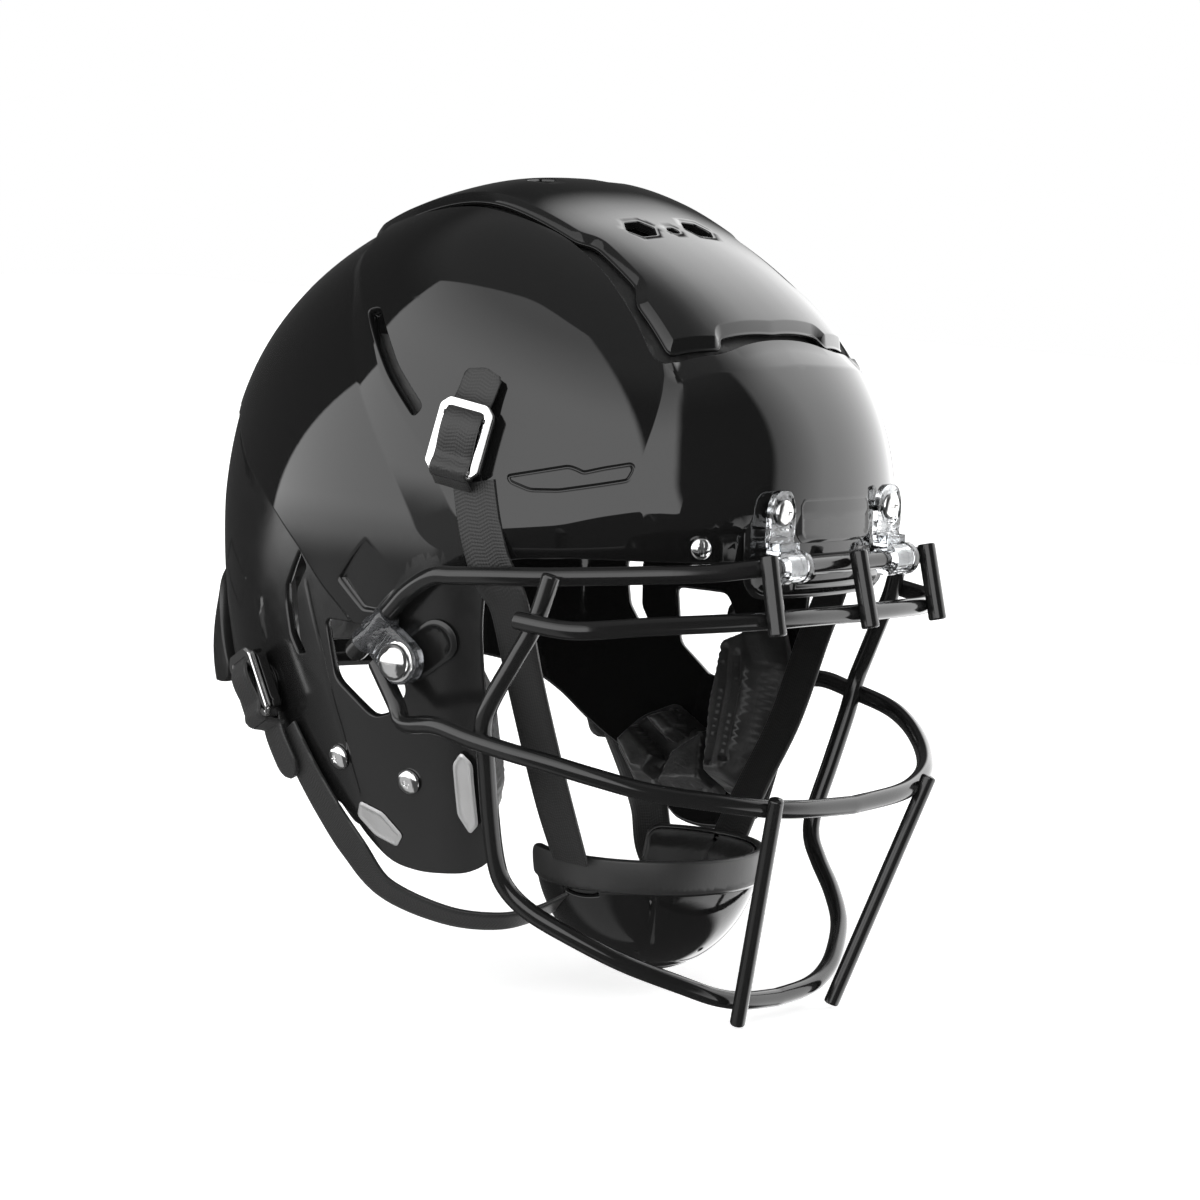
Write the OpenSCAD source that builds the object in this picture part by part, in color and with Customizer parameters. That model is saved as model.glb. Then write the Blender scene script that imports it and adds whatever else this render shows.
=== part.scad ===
// American football helmet: hard shell, sprung crown plate, bumpers, padded liner,
// swinging wire face mask on clips, and a chin cup on four strapped snap buckles.
// Origin: inside the head cavity, on the middle plane, at brow-edge height.
// +X is the wearer's left, -Y is the front, +Z is up.

/* [Shell] */
// Half width of the shell at brow height
shell_half_w = 117; // [112:1:122]
// Height of the crown above the brow edge
shell_h = 133; // [128:1:138]
// Length of the shell in front of its widest section
shell_front = 132.5; // [128:0.5:136]
// Length of the shell behind its widest section
shell_rear = 145; // [140:1:150]
// Wall thickness of the shell
shell_t = 4; // [3.5:0.5:5]

/* [Face mask] */
// Diameter of the main mask wires
wire_d = 7; // [6:0.5:8]
// Diameter of the two lower upright wires
thin_wire_d = 6; // [5:0.5:7]
// Distance of each front clip from the middle
front_clip_x = 35; // [33:1:36]

/* [Straps] */
// Width of the chin strap webbing
strap_w = 20; // [18:1:22]
// Thickness of the chin strap webbing
strap_t = 1.6; // [1.2:0.2:2]

/* [Crown plate] */
// Travel of the crown plate when it is pressed
plate_travel = 3; // [2:0.5:3]

/* [Hidden] */
big = 400;
gap = 0.3;

// ---- The shell's outer surface: super-elliptic slices that shrink towards the crown ----
centre_y = -8;
front_n = 2.13;
rear_n = 1.98;

function unit(v) = v / norm(v);
function fall(u, p, q) = pow(max(0, 1 - pow(u, p)), 1 / q);
function half_w(z) = shell_half_w * fall(max(0, z) / shell_h, 2.45, 2.7) - 0.00156 * pow(min(0, z), 2);
function front_d(z) = shell_front * fall(max(0, z) / shell_h, 2.5, 1.2);
function rear_d(z) = shell_rear * fall(max(0, z) / shell_h, 2.25, 1.57) - 0.00182 * pow(min(0, z), 2);
function sweep_z(t) = t < 0 ? shell_h * t * PI / 180 : shell_h * sin(t);
function signed_pow(v, p) = sign(v) * pow(abs(v), p);

// Point at height angle t (-58 to 89) and plan angle a (0 is +X, 270 is the front)
function surf(t, a) =
    let (z = sweep_z(t), back = sin(a) >= 0, p = 2 / (back ? rear_n : front_n))
    [half_w(z) * signed_pow(cos(a), p),
     centre_y + (back ? rear_d(z) : front_d(z)) * signed_pow(sin(a), p), z];
function surf_normal(t, a) =
    unit(cross(surf(t, a + 0.5) - surf(t, a - 0.5), surf(t + 0.5, a) - surf(t - 0.5, a)));
function off_surf(t, a, out) = surf(t, a) + out * surf_normal(t, a);

// Half width of the shell at a given y and z, for pieces that are placed on its sides
function side_x(y, z) =
    let (back = y >= centre_y, n = back ? rear_n : front_n, d = back ? rear_d(z) : front_d(z))
    half_w(z) * pow(max(0, 1 - pow(abs(y - centre_y) / d, n)), 1 / n);
function side_normal(y, z) =
    unit([-1, side_x(y - 1, z) / 2 - side_x(y + 1, z) / 2, side_x(y, z - 1) / 2 - side_x(y, z + 1) / 2]);
function off_side(y, z, out) = [-side_x(y, z), y, z] + out * side_normal(y, z);
// Depth of the shell's front at a given x and z
function front_y(x, z) =
    centre_y - front_d(z) * pow(max(0, 1 - pow(abs(x) / half_w(z), front_n)), 1 / front_n);

// ---- Solids between two grids of points, seen from outside with rows going up ----
function flat(grid) = [for (row = grid) for (p = row) p];
function quad(a, b, c, d) = [[a, b, c], [a, c, d]];
module slab(outer, inner) {
    m = len(outer);
    n = len(outer[0]);
    k = m * n;
    skin = [for (i = [0:m - 2]) for (j = [0:n - 2]) for (f = quad(
        i * n + j, (i + 1) * n + j, (i + 1) * n + j + 1, i * n + j + 1)) f];
    back = [for (f = skin) [f[2] + k, f[1] + k, f[0] + k]];
    rows = [for (i = [0:m - 2]) for (f = concat(
        quad(i * n, i * n + k, (i + 1) * n + k, (i + 1) * n),
        quad((i + 1) * n + n - 1, (i + 1) * n + n - 1 + k, i * n + n - 1 + k, i * n + n - 1))) f];
    ends = [for (j = [0:n - 2]) for (f = concat(
        quad(j + 1, j + 1 + k, j + k, j),
        quad((m - 1) * n + j, (m - 1) * n + j + k, (m - 1) * n + j + 1 + k, (m - 1) * n + j + 1))) f];
    polyhedron(points = concat(flat(outer), flat(inner)), faces = concat(skin, back, rows, ends));
}

// A slab that follows the shell between two offsets, over a range of height and plan angles
module shell_slab(t0, t1, a0, a1, inside, outside, rows = 8, cols = 12) {
    function grid(out) = [for (i = [0:rows]) [for (j = [0:cols])
        off_surf(t0 + (t1 - t0) * i / rows, a0 + (a1 - a0) * j / cols, out)]];
    slab(grid(outside), grid(inside));
}
// The same on the right side of the shell, over a range of y and z
module side_slab(y0, y1, z0, z1, inside, outside, rows = 6, cols = 6) {
    function grid(out) = [for (i = [0:rows]) [for (j = [0:cols])
        off_side(y1 + (y0 - y1) * j / cols, z0 + (z1 - z0) * i / rows, out)]];
    slab(grid(outside), grid(inside));
}
// An outline in (y, z), extruded across the helmet along X
module across(points, r = 0) {
    rotate([90, 0, 90])
        linear_extrude(height = 2 * big, center = true)
            offset(r = r) offset(delta = -r) polygon(points);
}
// An outline in (x, y), extruded upwards
module upwards(points) {
    linear_extrude(height = big) polygon(points);
}
// An outline given for +X only, completed on the other side of the middle plane
function both_sides(points) =
    concat(points, [for (i = [len(points) - 1:-1:0]) [-points[i][0], points[i][1]]]);
module on_left() { mirror([1, 0, 0]) children(); }
module both() { children(); mirror([1, 0, 0]) children(); }

// Places children on the right side of the shell, with +Z outwards and +Y up, turned by spin
module on_side(y, z, out = 0, spin = 0) {
    n = side_normal(y, z);
    right = unit(cross([0, 0, 1], n));
    up = cross(n, right);
    p = off_side(y, z, out);
    multmatrix([[right[0], up[0], n[0], p[0]], [right[1], up[1], n[1], p[1]],
        [right[2], up[2], n[2], p[2]], [0, 0, 0, 1]])
        rotate([0, 0, spin]) children();
}

// ---- Wires and straps: a section swept along a smoothed route ----
function smooth_at(a, b, c, d, u) =
    0.5 * (2 * b + (c - a) * u + (2 * a - 5 * b + 4 * c - d) * u * u + (3 * b - a - 3 * c + d) * u * u * u);
function smoothed(p, steps) = concat(
    [for (i = [0:len(p) - 2]) for (s = [0:steps - 1])
        smooth_at(p[max(0, i - 1)], p[i], p[i + 1], p[min(len(p) - 1, i + 2)], s / steps)],
    [p[len(p) - 1]]);
function tangent(p, i) = unit(p[min(len(p) - 1, i + 1)] - p[max(0, i - 1)]);
// Sweeps a closed section of (side, up) points; ref sets which way is up
module swept(path, section, ref) {
    n = len(section);
    m = len(path);
    pts = [for (i = [0:m - 1])
        let (t = tangent(path, i), s = unit(cross(t, ref)), u = cross(s, t))
        for (q = section) path[i] + q[0] * s + q[1] * u];
    walls = [for (i = [0:m - 2]) for (j = [0:n - 1]) for (f = quad(
        i * n + j, (i + 1) * n + j, (i + 1) * n + (j + 1) % n, i * n + (j + 1) % n)) f];
    caps = [[for (j = [0:n - 1]) j], [for (j = [n - 1:-1:0]) (m - 1) * n + j]];
    polyhedron(points = pts, faces = concat(walls, caps));
}
function circle_section(d, n) = [for (j = [0:n - 1]) d / 2 * [cos(360 * j / n), sin(360 * j / n)]];
module wire(path, d, ref = [0, 0, 1], sides = 10) { swept(path, circle_section(d, sides), ref); }
function flipped(p) = [for (i = [len(p) - 1:-1:0]) [-p[i][0], p[i][1], p[i][2]]];
function whole(half) = concat(flipped(half), [for (i = [1:len(half) - 1]) half[i]]);

// ---- Outlines ----
// Side view of the shell: brow, temple, jaw flap, neck edge and nape
shell_profile = [
    [-200, -1], [-91, -1], [-68, -3], [-60, -9], [-58, -30], [-59, -73], [-55, -118], [-50, -124],
    [-42, -128], [-21, -130], [-7, -128], [3, -119], [11, -109], [27, -103], [38, -97], [47, -91],
    [57, -83], [68, -76], [80, -71], [95, -68], [200, -70], [200, 200], [-200, 200]];
ear_hole = [[15, -34], [10, -58], [-9.5, -71], [-22, -67], [-28, -57], [-12, -34]];
rear_slot = [[31, -9], [25, -16], [31, -26], [29, -44], [25, -50], [31, -51], [36, -44], [39, -31], [39, -24]];
side_vent = [[9, 83], [2, 85], [-16, 64], [-31, 50], [-27, 45], [-11, 60]];
crown_window = both_sides([
    [0, -113], [36, -110], [59, -103], [63, -98], [59, -83], [55, -66], [54, -46], [61, -20],
    [63, 8], [61, 32], [50, 60], [36, 76], [0, 80]]);
plate_outline = both_sides([
    [0, -107], [31, -105], [34, -108], [56, -101], [54, -83], [48, -78], [46, -56], [51, -50],
    [55, -12], [53, 28], [44, 54], [30, 70], [0, 74]]);
crown_vents = [[18, -54, 9], [0, -56, 4], [21, -8, 8], [17, 40, 8]];

// ---- Shell ----
module shell_skin() {
    ts = concat([for (t = [-60:6:78]) t], [83, 87]);
    n = 72;
    m = len(ts);
    k = m * n;
    ring = function(i, j) i * n + j % n;
    outer = [for (t = ts) for (j = [0:n - 1]) surf(t, 360 * j / n)];
    inner = [for (t = ts) for (j = [0:n - 1]) off_surf(t, 360 * j / n, -shell_t)];
    top = [[0, centre_y, shell_h], [0, centre_y, shell_h - shell_t]];
    skin = [for (i = [0:m - 2]) for (j = [0:n - 1]) for (f = quad(
        ring(i, j), ring(i + 1, j), ring(i + 1, j + 1), ring(i, j + 1))) f];
    lining = [for (f = skin) [f[2] + k, f[1] + k, f[0] + k]];
    cap = [for (j = [0:n - 1]) [ring(m - 1, j), 2 * k, ring(m - 1, j + 1)]];
    cap_in = [for (j = [0:n - 1]) [ring(m - 1, j + 1) + k, 2 * k + 1, ring(m - 1, j) + k]];
    rim = [for (j = [0:n - 1]) for (f = quad(ring(0, j + 1), ring(0, j + 1) + k, ring(0, j) + k, ring(0, j))) f];
    polyhedron(points = concat(outer, inner, top), faces = concat(skin, lining, cap, cap_in, rim));
}
module shell() {
    color("#101012") difference() {
        intersection() {
            shell_skin();
            across(shell_profile);
        }
        across(ear_hole);
        across(rear_slot);
        across(side_vent);
        translate([0, 0, 40]) upwards(crown_window);
        clip_screw_holes(2.6);
    }
}

// ---- Crown ----
module crown_slab(inside, outside) {
    // Rows run from the front (a = 270) round to the back over the top, by plan position
    function spot(x, y, out) =
        let (z = crown_z(x, y), e = 1,
             n = unit([crown_z(x - e, y) - crown_z(x + e, y), crown_z(x, y - e) - crown_z(x, y + e), 2 * e]))
        [x, y, z] + out * n;
    function grid(out) = [for (i = [0:18]) [for (j = [0:12]) spot(-66 + 11 * j, -112 + 11 * i, out)]];
    slab(grid(outside), grid(inside));
}
// Height of the surface over a plan position, found by halving
function inside_plan(x, y, z) =
    let (back = y >= centre_y, n = back ? rear_n : front_n, d = back ? rear_d(z) : front_d(z), w = half_w(z))
    w > 1 && d > 1 && pow(abs(x) / w, n) + pow(abs(y - centre_y) / d, n) < 1;
function crown_z(x, y, lo = 0, hi = 132.99, steps = 22) =
    steps == 0 ? lo :
    let (mid = (lo + hi) / 2)
    inside_plan(x, y, mid) ? crown_z(x, y, mid, hi, steps - 1) : crown_z(x, y, lo, mid, steps - 1);
module vent_cutters() {
    for (v = crown_vents) both()
        translate([v[0], v[1], 40]) linear_extrude(height = big) scale([1, 0.65]) circle(r = v[2], $fn = 6);
}
module crown_foam() {
    color("#17171a") difference() {
        intersection() {
            crown_slab(-shell_t - 7, -shell_t - gap);
            translate([0, 0, 30]) linear_extrude(height = big) offset(delta = 3) polygon(crown_window);
        }
        vent_cutters();
    }
}
module crown_plate() {
    color("#0c0c0e") difference() {
        intersection() {
            crown_slab(-0.5, 3.5);
            translate([0, 0, 40]) upwards(plate_outline);
        }
        vent_cutters();
    }
}

// ---- Front ----
module front_slab(x1, z0, z1, inside, outside) {
    function grid(out) = [for (i = [0:6]) [for (j = [0:12])
        let (x = -x1 + 2 * x1 * j / 12, z = z0 + (z1 - z0) * i / 6)
        [x, front_y(x, max(z, -3)) - out, z]]];
    slab(grid(outside), grid(inside));
}
module front_outline(points, r) {
    rotate([90, 0, 0]) linear_extrude(height = big) offset(r = r) offset(delta = -r) polygon(points);
}
bumper_outline = both_sides([[0, -15], [38, -15], [44, -9], [45, 4], [42, 26], [0, 26]]);
module front_bumper() {
    color("#141416") difference() {
        intersection() {
            front_slab(48, -18, 30, gap, 2.8);
            front_outline(bumper_outline, 3);
        }
        clip_screw_holes(2.6);
    }
}
module nameplate() {
    color("#26262a") intersection() {
        front_slab(24, 4, 28, 2.8, 4.3);
        front_outline(both_sides([[0, 8], [18, 8], [20, 11], [20, 20], [18, 23], [0, 23]]), 1);
    }
}
screw_z = 18;
bar_y = -147;
bar_z = -2;
module clip_screw_holes(r) {
    for (s = [-1, 1]) translate([s * front_clip_x, 0, screw_z]) rotate([90, 0, 0]) cylinder(h = big, r = r, $fn = 32);
}
// A clear clip: a flat tongue on the bumper and a loop round the top bar
clip_w = 15;
clip_t = 3.2;
clip_back_y = -140.4;
loop_r = 6.4;
module front_clip() {
    y0 = clip_back_y;
    color("#b8bcc4", 0.5) translate([-front_clip_x, 0, 0]) difference() {
        union() {
            translate([-clip_w / 2, y0 - clip_t, 3]) cube([clip_w, clip_t, 23]);
            translate([0, bar_y, bar_z]) rotate([0, 90, 0]) cylinder(h = clip_w, r = loop_r, center = true, $fn = 48);
            translate([-clip_w / 2, bar_y, 1]) cube([clip_w, y0 - bar_y, 6]);
        }
        translate([0, bar_y, bar_z]) rotate([0, 90, 0])
            cylinder(h = big, r = wire_d / 2 + 0.08, center = true, $fn = 48);
        translate([0, y0 + 1, screw_z]) rotate([90, 0, 0]) cylinder(h = 20, r = 2.6, $fn = 32);
    }
}
module front_clip_right() { front_clip(); }
module front_clip_left() { on_left() front_clip(); }
module front_clip_screws() {
    head_y = clip_back_y - clip_t - 0.2;
    color("silver") both() translate([-front_clip_x, head_y, screw_z]) rotate([90, 0, 0]) {
        difference() {
            cylinder(h = 2.2, r = 5, $fn = 48);
            translate([0, 0, 2.5]) cube([5, 1, 2], center = true);
            translate([0, 0, 2.5]) cube([1, 5, 2], center = true);
        }
        translate([0, 0, -12]) cylinder(h = 12.5, r = 2.4, $fn = 32);
    }
}
module dome(r, h) {
    ball = (r * r + h * h) / (2 * h);
    intersection() {
        translate([0, 0, h - ball]) sphere(r = ball, $fn = 64);
        cylinder(h = h + 1, r = r, $fn = 48);
    }
}
module brow_screws() {
    color("silver") both() on_side(-124, 4, gap) dome(4.2, 2.4);
}

// ---- Rear ----
module rear_bumper() {
    function grid(k) = [for (i = [0:6]) [for (j = [0:12])
        let (t = -32 + 20 * i / 6, a = 58 + 64 * j / 12, w = sin(180 * i / 6 * 0.5 + 90))
        off_surf(t, a, k == 0 ? gap : 4 + 20 * max(0, w) * pow(sin(180 * j / 12), 0.5))]];
    color("#151517") slab(grid(1), grid(0));
}
module rear_label() {
    color("white") translate([0, 151.6, -60]) rotate([90, 0, 0]) hull() {
        for (s = [-1, 1]) translate([s * 14, 0, -0.5]) cylinder(h = 1.6, r = 6, $fn = 32);
    }
}

// ---- Jaw flaps ----
module jaw_screws() {
    color("silver") both() {
        on_side(11, -88.5, gap) dome(5, 2.6);
        on_side(-24, -93.5, gap) dome(5, 2.6);
    }
}
front_label = [[-53, -83], [-49, -79], [-45, -84], [-44, -104], [-48, -111], [-52, -107]];
rear_label_outline = [[3, -105], [6, -111], [-2, -118], [-12, -121], [-16, -116], [-8, -108]];
module jaw_label(points) {
    intersection() {
        side_slab(-60, 15, -125, -75, gap, 1);
        translate([-big, 0, 0]) across(points);
    }
}
module jaw_labels_front() { color("#c9cccf") both() jaw_label(front_label); }
module jaw_labels_rear() { color("#c9cccf") both() jaw_label(rear_label_outline); }

// ---- Liner ----
module liner_piece(points, inside, outside) {
    intersection() {
        side_slab(-66, 62, -122, 62, inside, outside, 12, 10);
        translate([-big, 0, 0]) across(points);
    }
}
pad_out = -shell_t - gap;
module brow_pad() {
    color("#1b1b1d") shell_slab(3, 21, 215, 325, pad_out - 22, pad_out, 4, 14);
}
module crown_pad() {
    color("#1b1b1d") translate([0, centre_y + 4, 0]) intersection() {
        translate([0, 0, 60]) cylinder(h = 70, r = 46, $fn = 48);
        translate([0, -centre_y - 4, 0]) crown_slab(-34, -12);
    }
}
module side_pad() {
    color("#1b1b1d") shell_slab(-1, 36, 150, 205, pad_out - 20, pad_out, 6, 8);
}
module side_pad_right() { side_pad(); }
module side_pad_left() { on_left() side_pad(); }
module rear_pad() { color("#1b1b1d") shell_slab(-6, 40, 60, 120, pad_out - 20, pad_out, 8, 8); }
module nape_pad() { color("#1b1b1d") shell_slab(-28, -9, 55, 125, pad_out - 16, pad_out, 4, 10); }
jaw_pad_outline = [[-22, -50], [-36, -46], [-48, -50], [-54, -70], [-54, -92], [-48, -112], [-30, -116], [-28, -88]];
cheek_pad_outline = [[22, -84], [10, -80], [-2, -86], [-12, -80], [-25, -86], [-27, -112], [-8, -118], [8, -112], [24, -98]];
module jaw_pad_right() { color("#202022") liner_piece(jaw_pad_outline, pad_out - 26, pad_out); }
module jaw_pad_left() { on_left() jaw_pad_right(); }
module cheek_pad_right() { color("#202022") liner_piece(cheek_pad_outline, pad_out - 14, pad_out); }
module cheek_pad_left() { on_left() cheek_pad_right(); }

// ---- Face mask ----
top_bar_end = front_clip_x + 9;
side_rail_route = [
    [top_bar_end + 1, bar_y, bar_z], [53, -144, -2], [66, -134, -4], [82, -119, -5.5], [96, -102, -7],
    [107, -86, -8.3], [115, -70, -9.3], [119.5, -55, -10.5], [121.5, -46, -11.5],
    [121.5, -35, -18], [121.5, -27, -26], [121.5, -10.8, -43]];
brow_bar_half = [
    [0, -154, -20.5], [30, -152.5, -20.5], [50, -149, -21], [72, -139, -22], [92, -127.5, -23],
    [112, -114, -24.8], [118, -105, -25], [122, -88, -23.5]];
mid_bar_half = [
    [0, -157.5, -93.5], [30, -156, -92.5], [50, -151.5, -91], [70, -143, -88], [90, -129, -84.5],
    [105, -114, -79.5], [115, -100, -75.3], [121, -87, -72.5], [124, -70, -69.5], [125, -54, -66.5],
    [124, -38, -67.6], [121.5, -31, -61], [119.2, -19, -47.5]];
frame_bar_half = [
    [0, -127, -173], [20, -126.5, -171.8], [35, -124, -169], [50, -118.6, -163.4], [70, -106.6, -154.7],
    [84, -92.5, -145.5], [94, -78.5, -136.5], [99, -70.5, -128], [103, -68.3, -118], [110, -70, -99],
    [117, -72.4, -77], [120.5, -73, -65], [120.8, -77, -54], [118, -85.5, -37], [116, -91.6, -24.5], [114.3, -96.5, -7]];
module top_bar() {
    color("#0b0b0c") translate([0, bar_y, bar_z]) rotate([0, 90, 0])
        cylinder(h = 2 * top_bar_end, d = wire_d, center = true, $fn = 48);
}
module side_rail_left() {
    color("#0b0b0c") wire(concat([[top_bar_end, bar_y, bar_z]], smoothed(side_rail_route, 3)), wire_d);
}
module side_rail_right() { on_left() side_rail_left(); }
module brow_bar() {
    color("#0b0b0c") wire(whole(smoothed(brow_bar_half, 2)), wire_d);
}
module mid_bar() {
    color("#0b0b0c") wire(whole(smoothed(mid_bar_half, 2)), wire_d);
}
module frame_bar() {
    color("#0b0b0c") wire(whole(smoothed(frame_bar_half, 2)), wire_d, [0, 1, 0]);
}
module stick(a, b, d) {
    v = b - a;
    translate(a) rotate([0, acos(v[2] / norm(v)), atan2(v[1], v[0])]) cylinder(h = norm(v), d = d, $fn = 32);
}
module brow_links() {
    color("#0b0b0c") {
        stick([0, -153.6, 2.5], [0, -161, -24.5], wire_d);
        both() stick([52, -149.5, 2.5], [53, -156, -25], wire_d);
    }
}
module chin_bars() {
    color("#0b0b0c") both() stick([50.5, -158, -87.5], [31, -132, -178], thin_wire_d);
}

// ---- Side clips: a loop round the end of the top bar and a lobe for the quarter turn ----
pivot_y = -33;
pivot_z = -45;
loop_a = [121.5, -25, -28.5];
loop_b = [121.5, -13.5, -40.3];
module side_clip() {
    color("#2a2c30", 0.7) on_left() difference() {
        union() {
            stick(loop_a, loop_b, 10.6);
            hull() {
                translate([118.5, pivot_y, pivot_z]) rotate([0, 90, 0]) cylinder(h = 7, r = 8.4, $fn = 32);
                translate([118.5, -21, -36]) rotate([0, 90, 0]) cylinder(h = 7, r = 7, $fn = 32);
            }
        }
        stick([121.5, -40, -13.2], [121.5, 0, -54.2], wire_d + 0.2);
        translate([110, pivot_y, pivot_z]) rotate([0, 90, 0]) cylinder(h = 30, r = 3.6, $fn = 48);
    }
}
module side_clip_right() { side_clip(); }
module side_clip_left() { on_left() side_clip(); }
module clip_base() {
    color("#202226") difference() {
        hull() {
            on_side(-31, -45, gap) cylinder(h = 1.6, r = 8, $fn = 32);
            on_side(-42, -37, gap) cylinder(h = 1.6, r = 8, $fn = 32);
        }
        translate([-big / 2, pivot_y, pivot_z]) rotate([0, 90, 0]) cylinder(h = big, r = 3.6, center = true, $fn = 48);
    }
}
module clip_base_right() { clip_base(); }
module clip_base_left() { on_left() clip_base(); }
module quarter_turn() {
    color("silver") translate([-118.2, pivot_y, pivot_z]) rotate([0, -90, 0]) {
        cylinder(h = 8, r = 3.5, $fn = 48);
        translate([0, 0, 7.4]) difference() {
            dome(7, 4.5);
            translate([0, 0, 5]) cube([9, 1.6, 4], center = true);
        }
    }
}
module quarter_turn_right() { quarter_turn(); }
module quarter_turn_left() { on_left() quarter_turn(); }

// ---- Snap buckles ----
upper_at = [-51, 39.5];
upper_spin = -17;
lower_at = [52, -64];
lower_spin = 24;
stud_r = 4;
block_t = 7;
module snap_studs() {
    color("silver") both() {
        on_side(upper_at[0], upper_at[1], -1) cylinder(h = 6, r = stud_r, $fn = 48);
        on_side(lower_at[0], lower_at[1], -1) cylinder(h = 6, r = stud_r, $fn = 48);
    }
}
pin_y = -13;
pin_z = block_t + 2.7;
pin_r = 1.5;
knuckle_r = 2.6;
// A black block with a round socket, and two knuckles round the frame's pin
module snap_block() {
    color("#121214") difference() {
        union() {
            translate([-9, -12, 1]) cube([18, 24, block_t]);
            for (x = [-7.5, 3.5]) {
                translate([x, pin_y, pin_z]) rotate([0, 90, 0]) cylinder(h = 4, r = knuckle_r, $fn = 48);
                translate([x, pin_y - knuckle_r, 4]) cube([4, 2 * knuckle_r, pin_z - 4]);
            }
        }
        translate([0, 0, -1]) cylinder(h = 6.5, r = stud_r + 0.35, $fn = 48);
        translate([-20, pin_y, pin_z]) rotate([0, 90, 0]) cylinder(h = 40, r = pin_r + 0.08, $fn = 48);
    }
}
// A bright metal frame over the block, whose lower side is the pin that it turns on
module frame_ring() {
    color("silver") {
        translate([0, 0, block_t + 1.4]) difference() {
            translate([-12, -15, 0]) cube([24, 30, 2.6]);
            translate([-8.8, -20, -1]) cube([17.6, 31, 5]);
            for (x = [-1, 1]) for (y = [-1, 1])
                translate([x * 12, y * 15, 0]) rotate([0, 0, 45]) cube([5, 5, 10], center = true);
        }
        translate([-9.5, pin_y, pin_z]) rotate([0, 90, 0]) cylinder(h = 19, r = pin_r, $fn = 48);
    }
}
module upper_snap_right() { on_side(upper_at[0], upper_at[1], 0, upper_spin) snap_block(); }
module upper_snap_left() { on_left() upper_snap_right(); }
module lower_snap_right() { on_side(lower_at[0], lower_at[1], 0, lower_spin) snap_block(); }
module lower_snap_left() { on_left() lower_snap_right(); }
module upper_buckle_right() { on_side(upper_at[0], upper_at[1], 0, upper_spin) frame_ring(); }
module upper_buckle_left() { on_left() upper_buckle_right(); }
module lower_buckle_right() { on_side(lower_at[0], lower_at[1], 0, lower_spin) frame_ring(); }
module lower_buckle_left() { on_left() lower_buckle_right(); }

// ---- Chin straps: each lies on the shell, then runs free to the cup ----
// [y, z, distance off the shell] where it lies on the right side of the shell
upper_lies = [[-55.5, 24, 2], [-60, 8, 2], [-66, -4, 2], [-70, -11, 1.8]];
upper_free = [[-104.5, -71, -22], [-93, -69, -48], [-79, -68, -78], [-64, -65, -103], [-51.5, -63.5, -124]];
upper_free_faces = [[-0.95, -0.2, -0.3], [-0.9, -0.1, -0.4], [-0.9, -0.1, -0.45], [-0.85, -0.1, -0.5], [-0.85, 0, -0.5]];
lower_lies = [[40, -81, 2.4], [30, -96, 2.6], [20, -110, 2.8], [10, -124, 2.4]];
lower_free = [[-86, 0, -140], [-73, -20, -149], [-58, -38, -150], [-46, -46, -146]];
lower_free_faces = [[-0.8, 0.1, -0.6], [-0.6, -0.1, -0.8], [-0.35, -0.3, -0.9], [-0.2, -0.3, -0.93]];
function laid(spots) = [for (q = spots) off_side(q[0], q[1], q[2])];
function laid_faces(spots) = [for (q = spots) side_normal(q[0], q[1])];
module strap(route, facing) {
    path = smoothed(route, 4);
    face = smoothed(facing, 4);
    m = len(path);
    function ring(i) =
        let (t = tangent(path, i), u = unit(face[i] - (face[i] * t) * t), w = cross(t, u))
        [for (q = [[-1, -1], [1, -1], [1, 1], [-1, 1]]) path[i] + q[0] * strap_w / 2 * w + q[1] * strap_t / 2 * u];
    pts = [for (i = [0:m - 1]) for (p = ring(i)) p];
    walls = [for (i = [0:m - 2]) for (j = [0:3]) for (f = quad(
        i * 4 + j, (i + 1) * 4 + j, (i + 1) * 4 + (j + 1) % 4, i * 4 + (j + 1) % 4)) f];
    polyhedron(points = pts, faces = concat(walls, [[0, 1, 2, 3], [for (j = [3:-1:0]) (m - 1) * 4 + j]]));
}
module upper_strap_right() {
    color("#161617") strap(concat(laid(upper_lies), upper_free), concat(laid_faces(upper_lies), upper_free_faces));
}
module upper_strap_left() { on_left() upper_strap_right(); }
module lower_strap_right() {
    color("#161617") strap(concat(laid(lower_lies), lower_free), concat(laid_faces(lower_lies), lower_free_faces));
}
module lower_strap_left() { on_left() lower_strap_right(); }

// ---- Chin cup: a bowl that is open at the back ----
cup_c = [0, -62, -122];
module bowl(dx, shave) {
    function spot(e, a) = cup_c + [(48 - dx) * cos(e) * cos(a), (43 - dx) * cos(e) * sin(a), -(50 - dx) * sin(e)];
    n = 32;
    rows = 8;
    pts = concat([for (i = [0:rows - 1]) for (j = [0:n - 1]) spot(90 * i / rows - shave, 360 * j / n)],
        [cup_c - [0, 0, 50 - dx]]);
    walls = [for (i = [0:rows - 2]) for (j = [0:n - 1]) for (f = quad(
        i * n + j, i * n + (j + 1) % n, (i + 1) * n + (j + 1) % n, (i + 1) * n + j)) f];
    tip = [for (j = [0:n - 1]) [(rows - 1) * n + j, (rows - 1) * n + (j + 1) % n, rows * n]];
    polyhedron(points = pts, faces = concat(walls, tip, [[for (j = [n - 1:-1:0]) j]]));
}
module cup_body(outer, inner) {
    difference() {
        bowl(outer, 0);
        bowl(inner, 6);
        translate([-big / 2, -34, -big]) cube([big, big, 2 * big]);
    }
}
module chin_cup() { color("#0d0d0f") cup_body(0, 2.6); }
module chin_cup_liner() { color("#1c1c1e") cup_body(2.9, 9); }

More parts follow.
